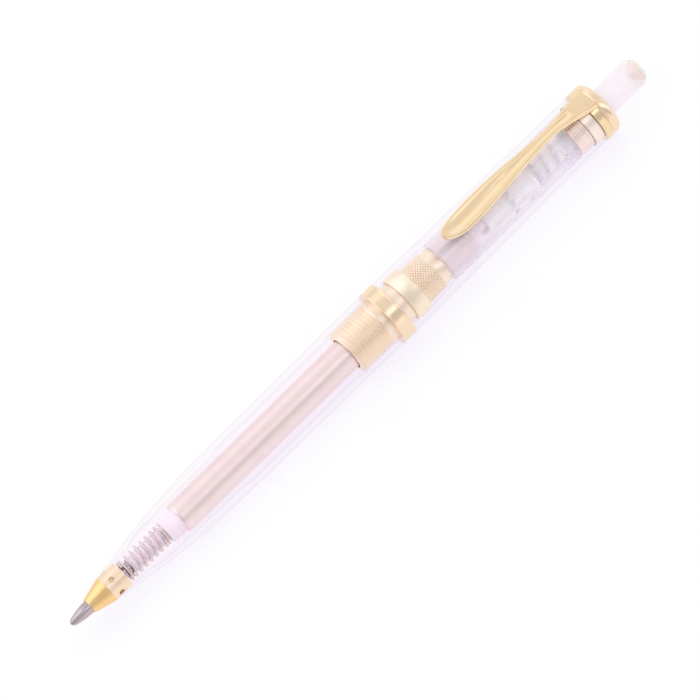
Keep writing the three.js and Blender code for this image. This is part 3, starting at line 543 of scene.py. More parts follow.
def make_refill_collar():
    neck_front = ends("refill_shoulder")[0]
    corners = [
        (neck_front, STEM_RADIUS + FIT),
        (neck_front, NECK_RADIUS, 0.12),
        (SHOULDER_START, NECK_RADIUS, 0.1),
        (SHOULDER_START, SHOULDER_RADIUS - 0.3),
        (SHOULDER_START + 0.6, SHOULDER_RADIUS),
        (tube_front - FIT, SHOULDER_RADIUS),
        (tube_front - FIT, TUBE_SPIGOT_RADIUS, 0),
        (tube_front + TUBE_SPIGOT, TUBE_SPIGOT_RADIUS),
        (tube_front + TUBE_SPIGOT, NECK_BORE, 0),
        (neck_front + STEM_SEAT, NECK_BORE, 0),
        (neck_front + STEM_SEAT, STEM_RADIUS + FIT, 0),
    ]
    return turned("refill_collar", rounded(corners), SLIM_ROUND)


def make_refill_casing():
    bore = tube_radius - TUBE_WALL
    corners = [
        (tube_front, bore, 0.03),
        (tube_front, tube_radius - 0.12),
        (tube_front + 0.3, tube_radius, 0.1),
        (tube_end, tube_radius),
        (tube_end, bore, 0.03),
    ]
    return turned("refill_casing", rounded(corners))


def make_refill_plug():
    refill_end = ends("refill_end_plug")[1]
    corners = [
        (tube_end - TUBE_SPIGOT, VENT_RADIUS, 0),
        (tube_end - TUBE_SPIGOT, TUBE_SPIGOT_RADIUS),
        (tube_end + FIT, TUBE_SPIGOT_RADIUS, 0),
        (tube_end + FIT, tube_radius),
        (refill_end, tube_radius, 0.15),
        (refill_end, VENT_RADIUS),
    ]
    plug = turned("refill_plug", rounded(corners), SLIM_ROUND)
    centre = (refill_end, 0, tube_radius / 2 + 2 * VENT_RADIUS)
    size = (2 * PLUG_NOTCH_DEPTH, pi * tube_radius / PLUG_NOTCHES / PLUG_NOTCH_SPACING, tube_radius)
    notches = [block(centre, size, TURN * i / PLUG_NOTCHES) for i in range(PLUG_NOTCHES)]
    return combined(plug, notches, "DIFFERENCE")


# Nose and front barrel


def make_nose():
    corners = [
        (nose_front, NOSE_BORE_RADIUS, 0.03),
        (nose_front, NOSE_LIP_RADIUS, 0.05),
        (nose_front + 0.15, NOSE_LIP_RADIUS + 0.08, 0.1),
        (barrel_front - FIT, BARREL_NOSE_RADIUS - 0.03, 0.03),
        (barrel_front - FIT, SHANK_RADIUS + CONTACT, 0),
        (shank_end, SHANK_RADIUS + CONTACT),
        (shank_end, NOSE_BORE_RADIUS),
    ]
    nose = turned("nose", rounded(corners))
    drills = []
    for i in range(SHANK_HOLES):
        turn = TURN * i / SHANK_HOLES + SHANK_HOLE_TURN
        points = []
        for depth in (-1, 1):
            for k in range(SHANK_HOLE_SIDES):
                bend = TURN * k / SHANK_HOLE_SIDES
                station = barrel_front + SHANK_HOLE_PLACE - SHANK_HOLE_RADIUS * cos(bend)
                across = rolled(SHANK_HOLE_RADIUS * sin(bend), SHANK_RADIUS + depth, turn)
                points.append((station, *across))
        drills.append(mesh_object("drill", points, tube_faces(2, SHANK_HOLE_SIDES)))
    return combined(nose, drills, "DIFFERENCE")


def front_outline():
    """The outside of the front barrel: a cone, an ogive and a long slight taper."""
    length = barrel_end - barrel_front
    rise = barrel_radius - BARREL_NOSE_RADIUS - BODY_TAPER_SLOPE * length
    meeting = rise / (NOSE_CONE_SLOPE - BODY_TAPER_SLOPE)
    start = Vector((meeting - OGIVE_REACH, NOSE_CONE_SLOPE * (meeting - OGIVE_REACH)))
    control = Vector((meeting, NOSE_CONE_SLOPE * meeting))
    end = control + OGIVE_REACH * Vector((1, BODY_TAPER_SLOPE))
    ogive = [
        (barrel_front + place.x, BARREL_NOSE_RADIUS + place.y, 0)
        for place in curve(start, control, end, OGIVE_STEPS)
    ]
    return [(barrel_front, BARREL_NOSE_RADIUS, 0.04), *ogive, (barrel_end, barrel_radius, 0.08)]


def make_front_shell():
    bore_step = shank_end + SPRING_BORE_LENGTH
    funnel_end = bore_step + FUNNEL_LENGTH
    thread_start = thread_front - SPRING_SEAT
    thread_bore = THREAD_RADIUS + THREAD_PLAY
    corners = [
        *front_outline(),
        (barrel_end, thread_bore, 0.15),
        (thread_start, thread_bore, 0.5),
        (thread_start - THREAD_LEAD_IN, BODY_BORE_RADIUS, 0.8),
        (funnel_end + FUNNEL_BLEND, BODY_BORE_RADIUS, FUNNEL_BLEND),
        (funnel_end - FUNNEL_BLEND, FUNNEL_REAR_RADIUS, FUNNEL_BLEND),
        (bore_step + BORE_SLOPE, FUNNEL_FRONT_RADIUS, 1.2),
        (bore_step - BORE_SLOPE, SPRING_BORE_RADIUS, 1.2),
        (shank_end + FIT, SPRING_BORE_RADIUS, 0.1),
        (shank_end + FIT, SHANK_RADIUS, 0),
        (barrel_front, SHANK_RADIUS, 0),
    ]
    return turned("front_shell", fine(rounded(corners)), WALL_ROUND, 30)


# Brass joint


def thread_relief(start, end, crest, pitch, depth):
    """Cuts a thread into the rings of one radius between two stations. It fades at its ends."""

    def relief(station, radius, angle):
        if abs(radius - crest) > 0.01:
            return 0
        fade = smooth(station, start, start + pitch) * (1 - smooth(station, end - pitch, end))
        phase = (station / pitch + angle / TURN) % 1
        wave = abs(2 * phase - 1)
        flank = min(max((wave - THREAD_CREST) / THREAD_FLANK, 0), 1)
        return -depth * flank * fade

    return relief


def make_threaded_spigot():
    thread_end = barrel_end - THREAD_RELIEF
    start = thread_front - THREAD_PITCH / 2
    relief = thread_relief(start, thread_end, THREAD_RADIUS, THREAD_PITCH, THREAD_DEPTH)
    threaded = stations(thread_front + 0.35, thread_end, THREAD_PITCH / THREAD_RINGS)
    outline = [
        (thread_front, SLEEVE_BORE),
        (thread_front, THREAD_RADIUS - 0.55),
        (thread_front + 0.25, THREAD_RADIUS - 0.3),
        *[(station, THREAD_RADIUS) for station in threaded],
        (thread_end + 0.02, THREAD_RADIUS - 0.2),
        (barrel_end - 0.1, THREAD_RADIUS - 0.2),
        (barrel_end - 0.1, THREAD_RADIUS - 0.02),
        (band_end, THREAD_RADIUS - 0.02),
        (band_end, SPIGOT_RADIUS),
        (spigot_end, SPIGOT_RADIUS),
        (spigot_end, SLEEVE_BORE),
    ]
    return turned("threaded_spigot", outline, WIDE_ROUND, 50, relief)


def make_band():
    bore = THREAD_RADIUS + 0.01
    radius = outer("centre_band")
    corners = [
        (band_front, bore, 0),
        (band_front, radius, 0.1),
        (band_front + BAND_BEAD, radius, 0.05),
        (band_front + BAND_BEAD + 0.06, radius - BAND_SINK, 0.05),
        (band_end - BAND_BEAD - 0.06, radius - BAND_SINK, 0.05),
        (band_end - BAND_BEAD, radius, 0.05),
        (band_end, radius, 0.1),
        (band_end, bore, 0),
    ]
    return turned("middle_band", rounded(corners), WIDE_ROUND)


def make_knurled_insert():
    knurl_front = flange_front + FLANGE_LENGTH
    knurl_end = knurl_front + KNURL_LENGTH
    socket_end = spigot_end + FIT

    def relief(station, radius, angle):
        if not (knurl_front < station < knurl_end and radius > KNURL_RADIUS - 0.01):
            return 0
        along = (station - knurl_front) / KNURL_LENGTH * KNURL_ROWS * TURN
        turn = angle * KNURLS_ROUND
        pit = max(cos(turn) * cos(along), 0)
        start = smooth(station, knurl_front, knurl_front + KNURL_FADE)
        end = 1 - smooth(station, knurl_end - KNURL_FADE, knurl_end)
        return -KNURL_DEPTH * pit * (start * end)

    knurled = stations(knurl_front + 0.02, knurl_end - 0.02, KNURL_LENGTH / KNURL_ROWS / FINE_RINGS)
    outline = [
        (flange_front, SPIGOT_RADIUS + FIT),
        (flange_front, FLANGE_RADIUS - 0.15),
        (flange_front + 0.15, FLANGE_RADIUS),
        (knurl_front - 0.3, FLANGE_RADIUS),
        *[(station, KNURL_RADIUS) for station in knurled],
        (knurl_end + 0.02, SLEEVE_END_RADIUS),
        (knurled_end - 0.1, SLEEVE_END_RADIUS),
        (knurled_end, SLEEVE_END_RADIUS - 0.1),
        (knurled_end, SLEEVE_BORE),
        (socket_end, SLEEVE_BORE),
        (socket_end, SPIGOT_RADIUS + FIT),
    ]
    return turned("knurled_insert", outline, KNURLS_ROUND * FINE_RINGS, 60, relief)


# Rear barrel and its fittings


def make_rear_shell():
    counterbore = rear_end - BUSHING_FLANGE_LENGTH
    corners = [
        (rear_front, REAR_FRONT_RADIUS - REAR_LIP_SINK, 0.05),
        (rear_front + REAR_LIP_LENGTH, REAR_FRONT_RADIUS - REAR_LIP_SINK, 0.02),
        (rear_front + REAR_LIP_LENGTH, REAR_FRONT_RADIUS, 0.06),
        (rear_end, REAR_END_RADIUS, 0.08),
        (rear_end, COUNTERBORE_RADIUS, 0),
        (counterbore, COUNTERBORE_RADIUS, 0),
        (counterbore, HOUSING_BORE, 0.05),
        (housing_front, HOUSING_BORE, 1.2),
        (flange_front + FLANGE_LENGTH + KNURL_LENGTH / 2, FLANGE_BORE, 1.2),
        (rear_front, FLANGE_BORE, 0),
    ]
    return turned("rear_shell", fine(rounded(corners)), WALL_ROUND, 30)


def make_bushing():
    flange_start = rear_end - BUSHING_FLANGE_LENGTH
    relief = thread_relief(
        bushing_front, flange_start, housing_radius, BUSHING_THREAD_PITCH, BUSHING_THREAD_DEPTH
    )
    threaded = stations(bushing_front + 0.1, flange_start - 0.1, BUSHING_THREAD_PITCH / FINE_RINGS)
    lip_end = bushing_front + 1
    outline = [
        (bushing_front, BUSHING_BORE),
        (bushing_front, housing_radius - 0.15),
        *[(station, housing_radius) for station in threaded],
        (flange_start, housing_radius - 0.15),
        (flange_start, BUSHING_FLANGE_RADIUS),
        (rear_end, BUSHING_FLANGE_RADIUS),
        (rear_end, BUSHING_NECK_RADIUS),
        (bushing_rear, BUSHING_NECK_RADIUS),
        (bushing_rear, BUTTON_BORE),
        (lip_end, BUTTON_BORE),
        (lip_end, BUSHING_BORE),
    ]
    return turned("end_bushing", outline, ROUND, 40, relief)


def make_crown():
    widest = crown_front + 0.3 * (crown_end - crown_front)
    corners = [
        (crown_front, BUSHING_NECK_RADIUS + FIT, 0),
        (crown_front, ring_radius - 0.16),
        *dome(widest, crown_end, CROWN_SHOULDER_RADIUS, ring_radius, CROWN_STEPS),
        (crown_end, BUTTON_BORE, 0.15),
        (bushing_rear + FIT, BUTTON_BORE, 0),
        (bushing_rear + FIT, BUSHING_NECK_RADIUS + FIT, 0),
    ]
    return turned("crown", rounded(corners), WIDE_ROUND)


# Click mechanism


def arc_sections(start, end, wall_front, wall_rear, front_rise=0, rear_rise=0, steps=5):
    """Sections of a wall between two angles. Its front and rear may rise towards the rear."""
    return [
        (mix(start, end, k / steps), wall_front + front_rise * k / steps, wall_rear + rear_rise * k / steps)
        for k in range(steps + 1)
    ]


def saw_tooth(start, end, tip, wall_rear):
    """Sections of one saw tooth that rises along the turn and ends in a steep back."""
    return arc_sections(start, end - TOOTH_DRAFT, tip, wall_rear, TOOTH_DEPTH, steps=6)


def make_housing():
    collar = housing_front + GUIDE_COLLAR_LENGTH
    corners = [
        (housing_front, GUIDE_COLLAR_BORE),
        (housing_front, housing_radius, 0.15),
        (housing_rear, housing_radius),
        (housing_rear, GUIDE_BORE),
        (collar, GUIDE_BORE, 0.1),
        (collar - 0.4, GUIDE_COLLAR_BORE, 0.1),
    ]
    housing = turned("guide_housing", rounded(corners))
    slot_pitch = TURN / LATCH_COUNT
    wall = (GUIDE_BORE + housing_radius) / 2
    latch_rear = LATCH_FRONT + GUIDE_RIB_LENGTH
    ribs = []
    for i in range(LATCH_COUNT):
        start = i * slot_pitch + SLOT_HALF_ANGLE
        end = (i + 1) * slot_pitch - SLOT_HALF_ANGLE
        notch = (start + end) / 2
        sections = saw_tooth(start, notch, LATCH_FRONT, latch_rear)
        sections += saw_tooth(notch, end + TOOTH_DRAFT, LATCH_FRONT, latch_rear)
        ribs.append(bent_wall(sections, GUIDE_RIB_RADIUS, wall))
    combined(housing, ribs, "UNION")
    centre = (THRUST_FLANGE_STATION + WINDOW_LENGTH / 2 + SPRING_SEAT, 0, housing_radius)
    size = (WINDOW_LENGTH, WINDOW_WIDTH, housing_radius)
    windows = [block(centre, size, (i + 0.5) * slot_pitch) for i in range(LATCH_COUNT)]
    return combined(housing, windows, "DIFFERENCE")


def lugs(lug_front, lug_rear, inner, rear_rise=0):
    """The lugs that run in the slots between the guide ribs."""
    made = []
    for i in range(LATCH_COUNT):
        turn = TURN * i / LATCH_COUNT
        start = turn - LUG_HALF_ANGLE
        sections = arc_sections(start, turn + LUG_HALF_ANGLE, lug_front, lug_rear, 0, rear_rise)
        made.append(bent_wall(sections, inner, LUG_RADIUS))
    return made


def make_rotor():
    rotor_front = ends("index_rotor")[0]
    rotor_rear = rotor_front + ROTOR_LENGTH
    corners = [
        (rotor_front + 0.5, 0, 0),
        (rotor_front + 0.5, VENT_RADIUS, 0),
        (rotor_front, 2 * VENT_RADIUS),
        (rotor_front, ROTOR_RADIUS, 0.2),
        (rotor_rear, ROTOR_RADIUS),
        (rotor_rear, JOURNAL_RADIUS),
        (rotor_rear + JOURNAL_LENGTH, JOURNAL_RADIUS, 0.2),
        (rotor_rear + JOURNAL_LENGTH, 0, 0),
    ]
    rotor = turned("cam_rotor", rounded(corners), SLIM_ROUND)
    rib_front = rotor_front + ROTOR_RIB_SETBACK
    rib_rear = rotor_rear + ROTOR_RIB_OVERHANG - TOOTH_DEPTH
    return combined(rotor, lugs(rib_front, rib_rear, ROTOR_RADIUS - 0.2, TOOTH_DEPTH), "UNION")


def make_plunger():
    crown_rear = LATCH_FRONT + CROWN_RING_LENGTH
    tube_start = crown_rear - 0.4
    flange = THRUST_FLANGE_STATION
    flange_rear = flange + THRUST_FLANGE_THICKNESS
    corners = [
        (tube_start, THRUST_BORE, 0),
        (tube_start, THRUST_RADIUS, 0),
        (flange, THRUST_RADIUS, 0.1),
        (flange, LUG_RADIUS),
        (flange_rear, LUG_RADIUS),
        (flange_rear, THRUST_RADIUS, 0.1),
        (button_front - FIT, THRUST_RADIUS),
        (button_front - FIT, PEG_RADIUS),
        (button_front + PEG_LENGTH, PEG_RADIUS, 0.15),
        (button_front + PEG_LENGTH, THRUST_BORE / 2, 0),
        (button_front - PEG_LENGTH, THRUST_BORE / 2, 0),
        (button_front - PEG_LENGTH, THRUST_BORE, 0),
    ]
    plunger = turned("plunger_tube", rounded(corners), SLIM_ROUND)
    tooth_pitch = TURN / CROWN_TEETH
    teeth = []
    for i in range(CROWN_TEETH):
        teeth += saw_tooth(i * tooth_pitch, (i + 1) * tooth_pitch, LATCH_FRONT, crown_rear)
    crown = bent_wall(teeth, THRUST_BORE + 0.01, CROWN_TOOTH_RADIUS, closed=True)
    lug_front = LATCH_FRONT + LUG_SETBACK
    guides = lugs(lug_front, lug_front + LUG_LENGTH, THRUST_RADIUS - 0.3)
    return combined(plunger, [crown, *guides], "UNION")


# Button


def make_button():
    bore_end = button_front + PEG_LENGTH + SPRING_SEAT
    corners = [
        (bore_end, 0, 0),
        (bore_end, PEG_RADIUS + FIT, 0.1),
        (button_front, PEG_RADIUS + FIT),
        (button_front, button_radius, 0.15),
        (button_rim - BUTTON_BEVEL, button_radius, 0.1),
        (button_rim, button_radius - BUTTON_BEVEL, 0.08),
        (button_rim, CAP_RADIUS - 0.1, 0),
        (cone_front - FIT, CAP_TIP_RADIUS + FIT, 0),
        (cone_front - FIT, 0, 0),
    ]
    return turned("button", rounded(corners))


def make_button_disc():
    corners = [
        (cone_front, 0, 0),
        (cone_front, CAP_TIP_RADIUS, 0.05),
        (button_rim + FIT, CAP_RADIUS - 0.1, 0),
        (button_rim + FIT, CAP_RADIUS - DISC_RIM, 0),
        (button_rim + DISC_THICKNESS, CAP_RADIUS - DISC_RIM, 0.05),
        (button_rim + DISC_THICKNESS, 0, 0),
    ]
    return turned("button_disc", rounded(corners), SLIM_ROUND)


def make_button_lens():
    """The clear dome over the gold disc."""
    face = button_rim + DISC_THICKNESS
    corners = [
        (face, 0, 0),
        (face, CAP_RADIUS - DISC_RIM + FIT, 0),
        (button_rim + FIT, CAP_RADIUS - DISC_RIM + FIT, 0),
        (button_rim + FIT, CAP_RADIUS, 0.04),
        *dome(face + 0.05, pen_end, CAP_FLAT_RADIUS, CAP_RADIUS, LENS_STEPS),
        (pen_end, 0, 0),
    ]
    return turned("button_lens", rounded(corners), SLIM_ROUND)


# Clip


def clip_half(place):
    if place > CLIP_SPADE_PLACE:
        gone = (place - CLIP_SPADE_PLACE) / (CLIP_LENGTH - CLIP_SPADE_PLACE)
        fullness = CLIP_END_FULLNESS
        return CLIP_SPADE_WIDTH / 2 * max(1 - gone**fullness, 0.0004) ** (1 / fullness)
    widening = smooth(place, CLIP_WAIST_PLACE, CLIP_SPADE_PLACE)
    flare = max(1 - place / CLIP_WAIST_PLACE, 0) ** CLIP_FLARE
    half = CLIP_WAIST_WIDTH + (CLIP_SPADE_WIDTH - CLIP_WAIST_WIDTH) * widening
    return (half + (CLIP_ROOT_WIDTH - CLIP_WAIST_WIDTH) * flare) / 2


def clip_top_half(place):
    half = clip_half(place)
    return max(half - CLIP_WALL_SLANT, 0.6 * half)


def clip_underside(place):
    along = (collar_end - place - rear_front) / (rear_end - rear_front)
    barrel = mix(REAR_FRONT_RADIUS, REAR_END_RADIUS, along)
    arch = barrel + CLIP_ARCH_GAP
    touch = barrel + CLIP_TOUCH_GAP
    if place < CLIP_WAIST_PLACE:
        return mix(ring_radius + CLIP_ROOT_GAP, arch, smooth(place, CLIP_ARCH_START, CLIP_WAIST_PLACE))
    if place < CLIP_TOUCH_PLACE:
        return mix(arch, touch, smooth(place, CLIP_DESCENT_PLACE, CLIP_TOUCH_PLACE))
    return touch + CLIP_TIP_LIFT * smooth(place, CLIP_TOUCH_PLACE, CLIP_LENGTH)


def clip_top(place, side):
    """Height of the clip's top above its plain thickness, at a distance aside of its middle. A sharp
    fold with a fine ridge runs down the middle and softens into a dish over the spade."""
    half = clip_half(place)
    t = min(abs(side) / half, 1)
    near_tip = 1 - smooth(place, CLIP_LENGTH - CREASE_TIP_FADE, CLIP_LENGTH)
    folded = smooth(place, CREASE_START, CREASE_FULL) * near_tip
    soft = mix(CREASE_SHARPNESS, DISH_SOFTNESS, smooth(place, CREASE_SOFTENS, CREASE_END))
    widest = hypot(1, soft)
    height = -CREASE_SLOPE * half * folded * (widest - hypot(t, soft)) / (widest - soft)
    ridge = folded * (1 - smooth(place, RIDGE_FADE, CREASE_END))
    height += RIDGE_HEIGHT * ridge * exp(-(((side - RIDGE_ASIDE) / RIDGE_WIDTH) ** 2))
    top_half = clip_top_half(place)
    chamfer = min(CLIP_CHAMFER, 0.45 * top_half)
    beyond = max(abs(side) - (top_half - chamfer), 0) / chamfer
    return height - CLIP_CHAMFER_DROP * chamfer / CLIP_CHAMFER * beyond**2


def clip_section(place):
    """Points round the clip at a place."""
    half = clip_half(place)
    under = clip_underside(place)
    thick = mix(CLIP_THICKNESS, CLIP_TIP_THICKNESS, smooth(place, 0, CLIP_LENGTH))
    top = under + thick
    top_half = clip_top_half(place)
    curved = CLIP_ROOT_CURVE * (1 - smooth(place, 0, CLIP_FLAT_PLACE))

    def bent(y, z):
        drop = z - sqrt(max(z * z - y * y, 0)) if curved else 0
        return (y, z - curved * drop)

    bottom = [bent(half * x, under) for x in (-0.82, -0.5, -0.2, 0.2, 0.5, 0.82)]
    right = [bent(half * x, under + z * thick) for x, z in ((0.95, 0.04), (0.995, 0.12), (0.995, 0.18))]
    right.append(bent(mix(half, top_half, 0.5), under + 0.46 * thick))
    shares = [1 - k / CLIP_SIDE_STEPS for k in range(2 * CLIP_SIDE_STEPS + 1)]
    upper = [bent(top_half * x, top + clip_top(place, top_half * x)) for x in shares]
    left = [(-y, z) for y, z in reversed(right)]
    return bottom + right + upper + left


def make_clip():
    places = [CLIP_LENGTH * sin(pi / 2 * k / CLIP_STEPS) for k in range(CLIP_STEPS + 1)]
    sections = [clip_section(place) for place in places]
    points = []
    for place, section in zip(places, sections):
        points += [(collar_end - place, y, z) for y, z in section]
    arm = mesh_object("clip", points, tube_faces(len(sections), len(sections[0])), 28)
    web_sections = arc_sections(-CLIP_WEB_ANGLE, CLIP_WEB_ANGLE, collar_front, collar_end)
    web = bent_wall(web_sections, ring_radius - 0.4, ring_radius + 0.45)
    corners = [
        (collar_front, BUSHING_NECK_RADIUS + FIT),
        (collar_front, ring_radius, 0.1),
        (collar_end, ring_radius, 0.1),
        (collar_end, BUSHING_NECK_RADIUS + FIT),
    ]
    collar = turned("collar", rounded(corners), WIDE_ROUND)
    return combined(arm, [web, collar], "UNION", 28)


# Materials


def feed(tree, made, inputs):
    """Gives each of these inputs of a node a value or the output that leads to it."""
    for place, value in inputs.items():
        if isinstance(value, bpy.types.NodeSocket):
            tree.links.new(value, made.inputs[place])
        else:
            made.inputs[place].default_value = value


def node(tree, kind, inputs=None, output=0):
    """One output of a new node."""
    made = tree.nodes.new(kind)
    feed(tree, made, inputs or {})
    return made.outputs[output]


def mixed(tree, share, first, second):
    return node(tree, "ShaderNodeMixShader", {0: share, 1: first, 2: second})


def show(tree, shader, output="Material Output"):
    tree.links.new(shader, tree.nodes[output].inputs["Surface"])


def ramp(tree, factor, stops):
    """Colours at positions from 0 to 1."""
    made = tree.nodes.new("ShaderNodeValToRGB")
    elements = made.color_ramp.elements
    while len(elements) < len(stops):
        elements.new(0.5)
    for element, (position, colour) in zip(elements, stops):
        element.position = position
        element.color = (*colour, 1)
    tree.links.new(factor, made.inputs["Fac"])
    return made.outputs["Color"]


def new_material(name):
    material = bpy.data.materials.new(name)
    material.use_nodes = True
    tree = material.node_tree
    return material, tree, tree.nodes["Principled BSDF"]


def object_noise(tree, scale, stretch=(1, 1, 1), detail=3):
    """Noise on the object's own coordinates, with a size in waves per millimetre along each axis."""
    place = node(tree, "ShaderNodeTexCoord", output="Object")
    scaled = node(tree, "ShaderNodeMapping", {"Vector": place, "Scale": [s / MM for s in stretch]})
    return node(tree, "ShaderNodeTexNoise", {"Vector": scaled, "Scale": scale, "Detail": detail}, "Fac")


def remap(tree, value, start=0, end=1, low=0, high=1):
    spread = {"From Min": start, "From Max": end, "To Min": low, "To Max": high}
    return node(tree, "ShaderNodeMapRange", {"Value": value, **spread})


def between(tree, noise, low, high):
    """A number that runs between two values with a noise."""
    return remap(tree, noise, 0.3, 0.7, low, high)


def colours(tree, noise, low, high):
    return ramp(tree, noise, ((0.32, low), (0.68, high)))


def bump(tree, height, distance):
    return node(tree, "ShaderNodeBump", {"Height": height, "Strength": 1, "Distance": distance * MM})


def finish(tree, shader, tint, grain, roughness, depth):
    """The colour of a surface and its fine texture."""
    feed(tree, shader, {
        "Base Color": tint,
        "Roughness": between(tree, grain, *roughness),
        "Normal": bump(tree, grain, depth),
    })


def metal(name, low, high, roughness, grain, grain_depth):
    """A metal with slow colour variation and fine tool marks along or across the pen."""
    material, tree, shader = new_material(name)
    slow = object_noise(tree, 0.35)
    marks = object_noise(tree, 1, grain, 4)
    feed(tree, shader, {"Metallic": 1})
    finish(tree, shader, colours(tree, slow, low, high), marks, roughness, grain_depth)
    return material


def resin(name, low, high, shine):
    """A clear polished resin, faintly tinted. shine is the share that it mirrors face on and edge on."""
    material, tree, shader = new_material(name)
    tree.nodes.remove(shader)
    tint = colours(tree, object_noise(tree, 0.25), low, high)
    passing = node(tree, "ShaderNodeBsdfTransparent", {"Color": tint})
    mirror = node(tree, "ShaderNodeBsdfGlossy", {"Roughness": 0.04})
    turned_away = node(tree, "ShaderNodeLayerWeight", {"Blend": 0.5}, "Facing")
    show(tree, mixed(tree, remap(tree, turned_away, 0.3, 1, *shine), passing, mirror))
    return material


def milky(name, low, high, roughness, body):
    """A hazy resin. body is the share of white that it puts over what lies behind each surface."""
    material, tree, shader = new_material(name)
    slow = object_noise(tree, 0.3)
    fine = object_noise(tree, 4)
    tint = colours(tree, slow, low, high)
    finish(tree, shader, tint, fine, roughness, 0.003)
    near_glow = node(tree, "ShaderNodeBsdfDiffuse", {"Color": tint})
    far_glow = node(tree, "ShaderNodeBsdfTranslucent", {"Color": tint})
    glow = mixed(tree, 0.5, near_glow, far_glow)
    white = mixed(tree, GLOW_SHARE, shader.outputs["BSDF"], glow)
    passing = node(tree, "ShaderNodeBsdfTransparent", {"Color": tint})
    show(tree, mixed(tree, between(tree, slow, *body), passing, white))
    return material


def plastic(name, low, high, roughness):
    """A pale moulded plastic, slightly translucent."""
    material, tree, shader = new_material(name)
    slow = object_noise(tree, 0.4)
    fine = object_noise(tree, 6)
    feed(tree, shader, {"Subsurface Weight": 0.2, "Subsurface Scale": 0.6 * MM})
    finish(tree, shader, colours(tree, slow, low, high), fine, roughness, 0.006)
    return material


GLOW_SHARE = 0.3  # share of light from within in a hazy resin's white
ALONG = (0.04, 2.5, 2.5)  # tool marks that run along the pen
ROUND_ABOUT = (5, 0.05, 0.05)  # turning marks round it

gold = metal("gold_plating", (0.92, 0.7, 0.44), (0.95, 0.74, 0.49), (0.09, 0.16), ALONG, 0.0012)
turned_gold = metal("turned_gold", (0.94, 0.72, 0.51), (0.97, 0.76, 0.56), (0.1, 0.18), ROUND_ABOUT, 0.0012)
nose_gold = metal("nose_gold", (0.93, 0.62, 0.27), (0.96, 0.66, 0.32), (0.1, 0.18), ROUND_ABOUT, 0.0012)
bushing_gold = metal("bushing_gold", (0.99, 0.87, 0.77), (1, 0.9, 0.81), (0.3, 0.4), ROUND_ABOUT, 0.0012)
shank_gold = metal("shank_gold", (0.98, 0.79, 0.58), (1, 0.83, 0.63), (0.3, 0.4), ROUND_ABOUT, 0.0012)
brass = metal("turned_brass", (0.99, 0.85, 0.66), (1, 0.89, 0.72), (0.32, 0.42), ROUND_ABOUT, 0.0015)
nickel = metal("nickel_silver", (0.49, 0.41, 0.45), (0.57, 0.49, 0.53), (0.03, 0.06), ROUND_ABOUT, 0.002)
carbide = metal("carbide", (0.35, 0.33, 0.36), (0.45, 0.43, 0.46), (0.2, 0.3), (3, 3, 3), 0.002)
tube_metal = metal("drawn_tube", (0.92, 0.79, 0.76), (0.95, 0.82, 0.79), (0.34, 0.42), ALONG, 0.001)
wire = metal("spring_wire", (0.75, 0.66, 0.64), (0.83, 0.75, 0.72), (0.18, 0.3), (2, 2, 2), 0.001)
light_wire = metal("light_wire", (0.88, 0.84, 0.92), (0.93, 0.9, 0.96), (0.25, 0.4), (2, 2, 2), 0.001)
clear_resin = resin("clear_resin", (0.999, 0.98, 1), (1, 0.988, 1), (0.01, 0.2))
milky_resin = milky("milky_resin", (0.99, 0.975, 1), (1, 0.985, 1), (0.25, 0.4), (0.24, 0.31))
button_resin = milky("button_resin", (1, 0.955, 0.995), (1, 0.965, 1), (0.1, 0.18), (0.45, 0.55))
lens_resin = milky("lens_resin", (1, 0.965, 0.93), (1, 0.975, 0.945), (0.1, 0.18), (0.35, 0.45))
pale = plastic("pale_plastic", (0.93, 0.79, 0.88), (0.96, 0.84, 0.92), (0.3, 0.42))
moulding = plastic("milky_moulding", (1, 0.965, 1), (1, 0.98, 1), (0.25, 0.4))


# Assembly

SEE_THROUGH = (clear_resin, milky_resin, button_resin, lens_resin)


def dress(piece, material, slot, body, *nodes):
    piece.data.materials.clear()
    piece.data.materials.append(material)
    if material in SEE_THROUGH:
        piece.visible_shadow = False
        piece.visible_diffuse = False
    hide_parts(*nodes)
    if body:
        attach(piece, body)
    return piece


dress(make_ball(), carbide, "point_metal", "ball", "writing_ball")
dress(make_point(), nickel, "point_metal", "refill", "refill_tip")
dress(make_refill_collar(), pale, "pale_plastic", "refill", "refill_shoulder")
dress(make_refill_casing(), tube_metal, "refill_metal", "refill", "refill_tube")
dress(make_refill_plug(), pale, "pale_plastic", "refill", "refill_end_plug")
nose = dress(make_nose(), nose_gold, "gold_plate", "front_section", "nose_cone")
nose.data.materials.append(shank_gold)
for face in nose.data.polygons:
    face.material_index = 1 if face.center.x > TIP_X + (barrel_front + FIT) * MM else 0
dress(make_front_shell(), clear_resin, "clear_plastic", "front_section", "front_barrel")
dress(make_threaded_spigot(), brass, "brass", "rear_section", "thread_sleeve")
dress(make_band(), turned_gold, "gold_plate", "rear_section", "centre_band")
dress(make_knurled_insert(), brass, "brass", "rear_section", "knurled_sleeve")
dress(make_rear_shell(), clear_resin, "clear_plastic", "rear_section", "rear_barrel")
dress(make_housing(), milky_resin, "milky_plastic", "rear_section", "mechanism_housing")
dress(make_rotor(), moulding, "milky_plastic", "rotor", "index_rotor")
dress(make_plunger(), moulding, "milky_plastic", "plunger", "thrust_tube")
dress(make_bushing(), bushing_gold, "gold_plate", "rear_section", "top_bushing")
dress(make_crown(), turned_gold, "gold_plate", "rear_section", "crown_ring")
dress(make_button(), button_resin, "clear_plastic", "plunger", "push_button")
dress(make_button_disc(), turned_gold, "gold_plate", "plunger", "button_end_cap")
dress(make_button_lens(), lens_resin, "clear_plastic", "plunger", "button_end_cap")

clip = dress(make_clip(), gold, "gold_plate", None, "clip_arm", "clip_collar")
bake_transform(clip)

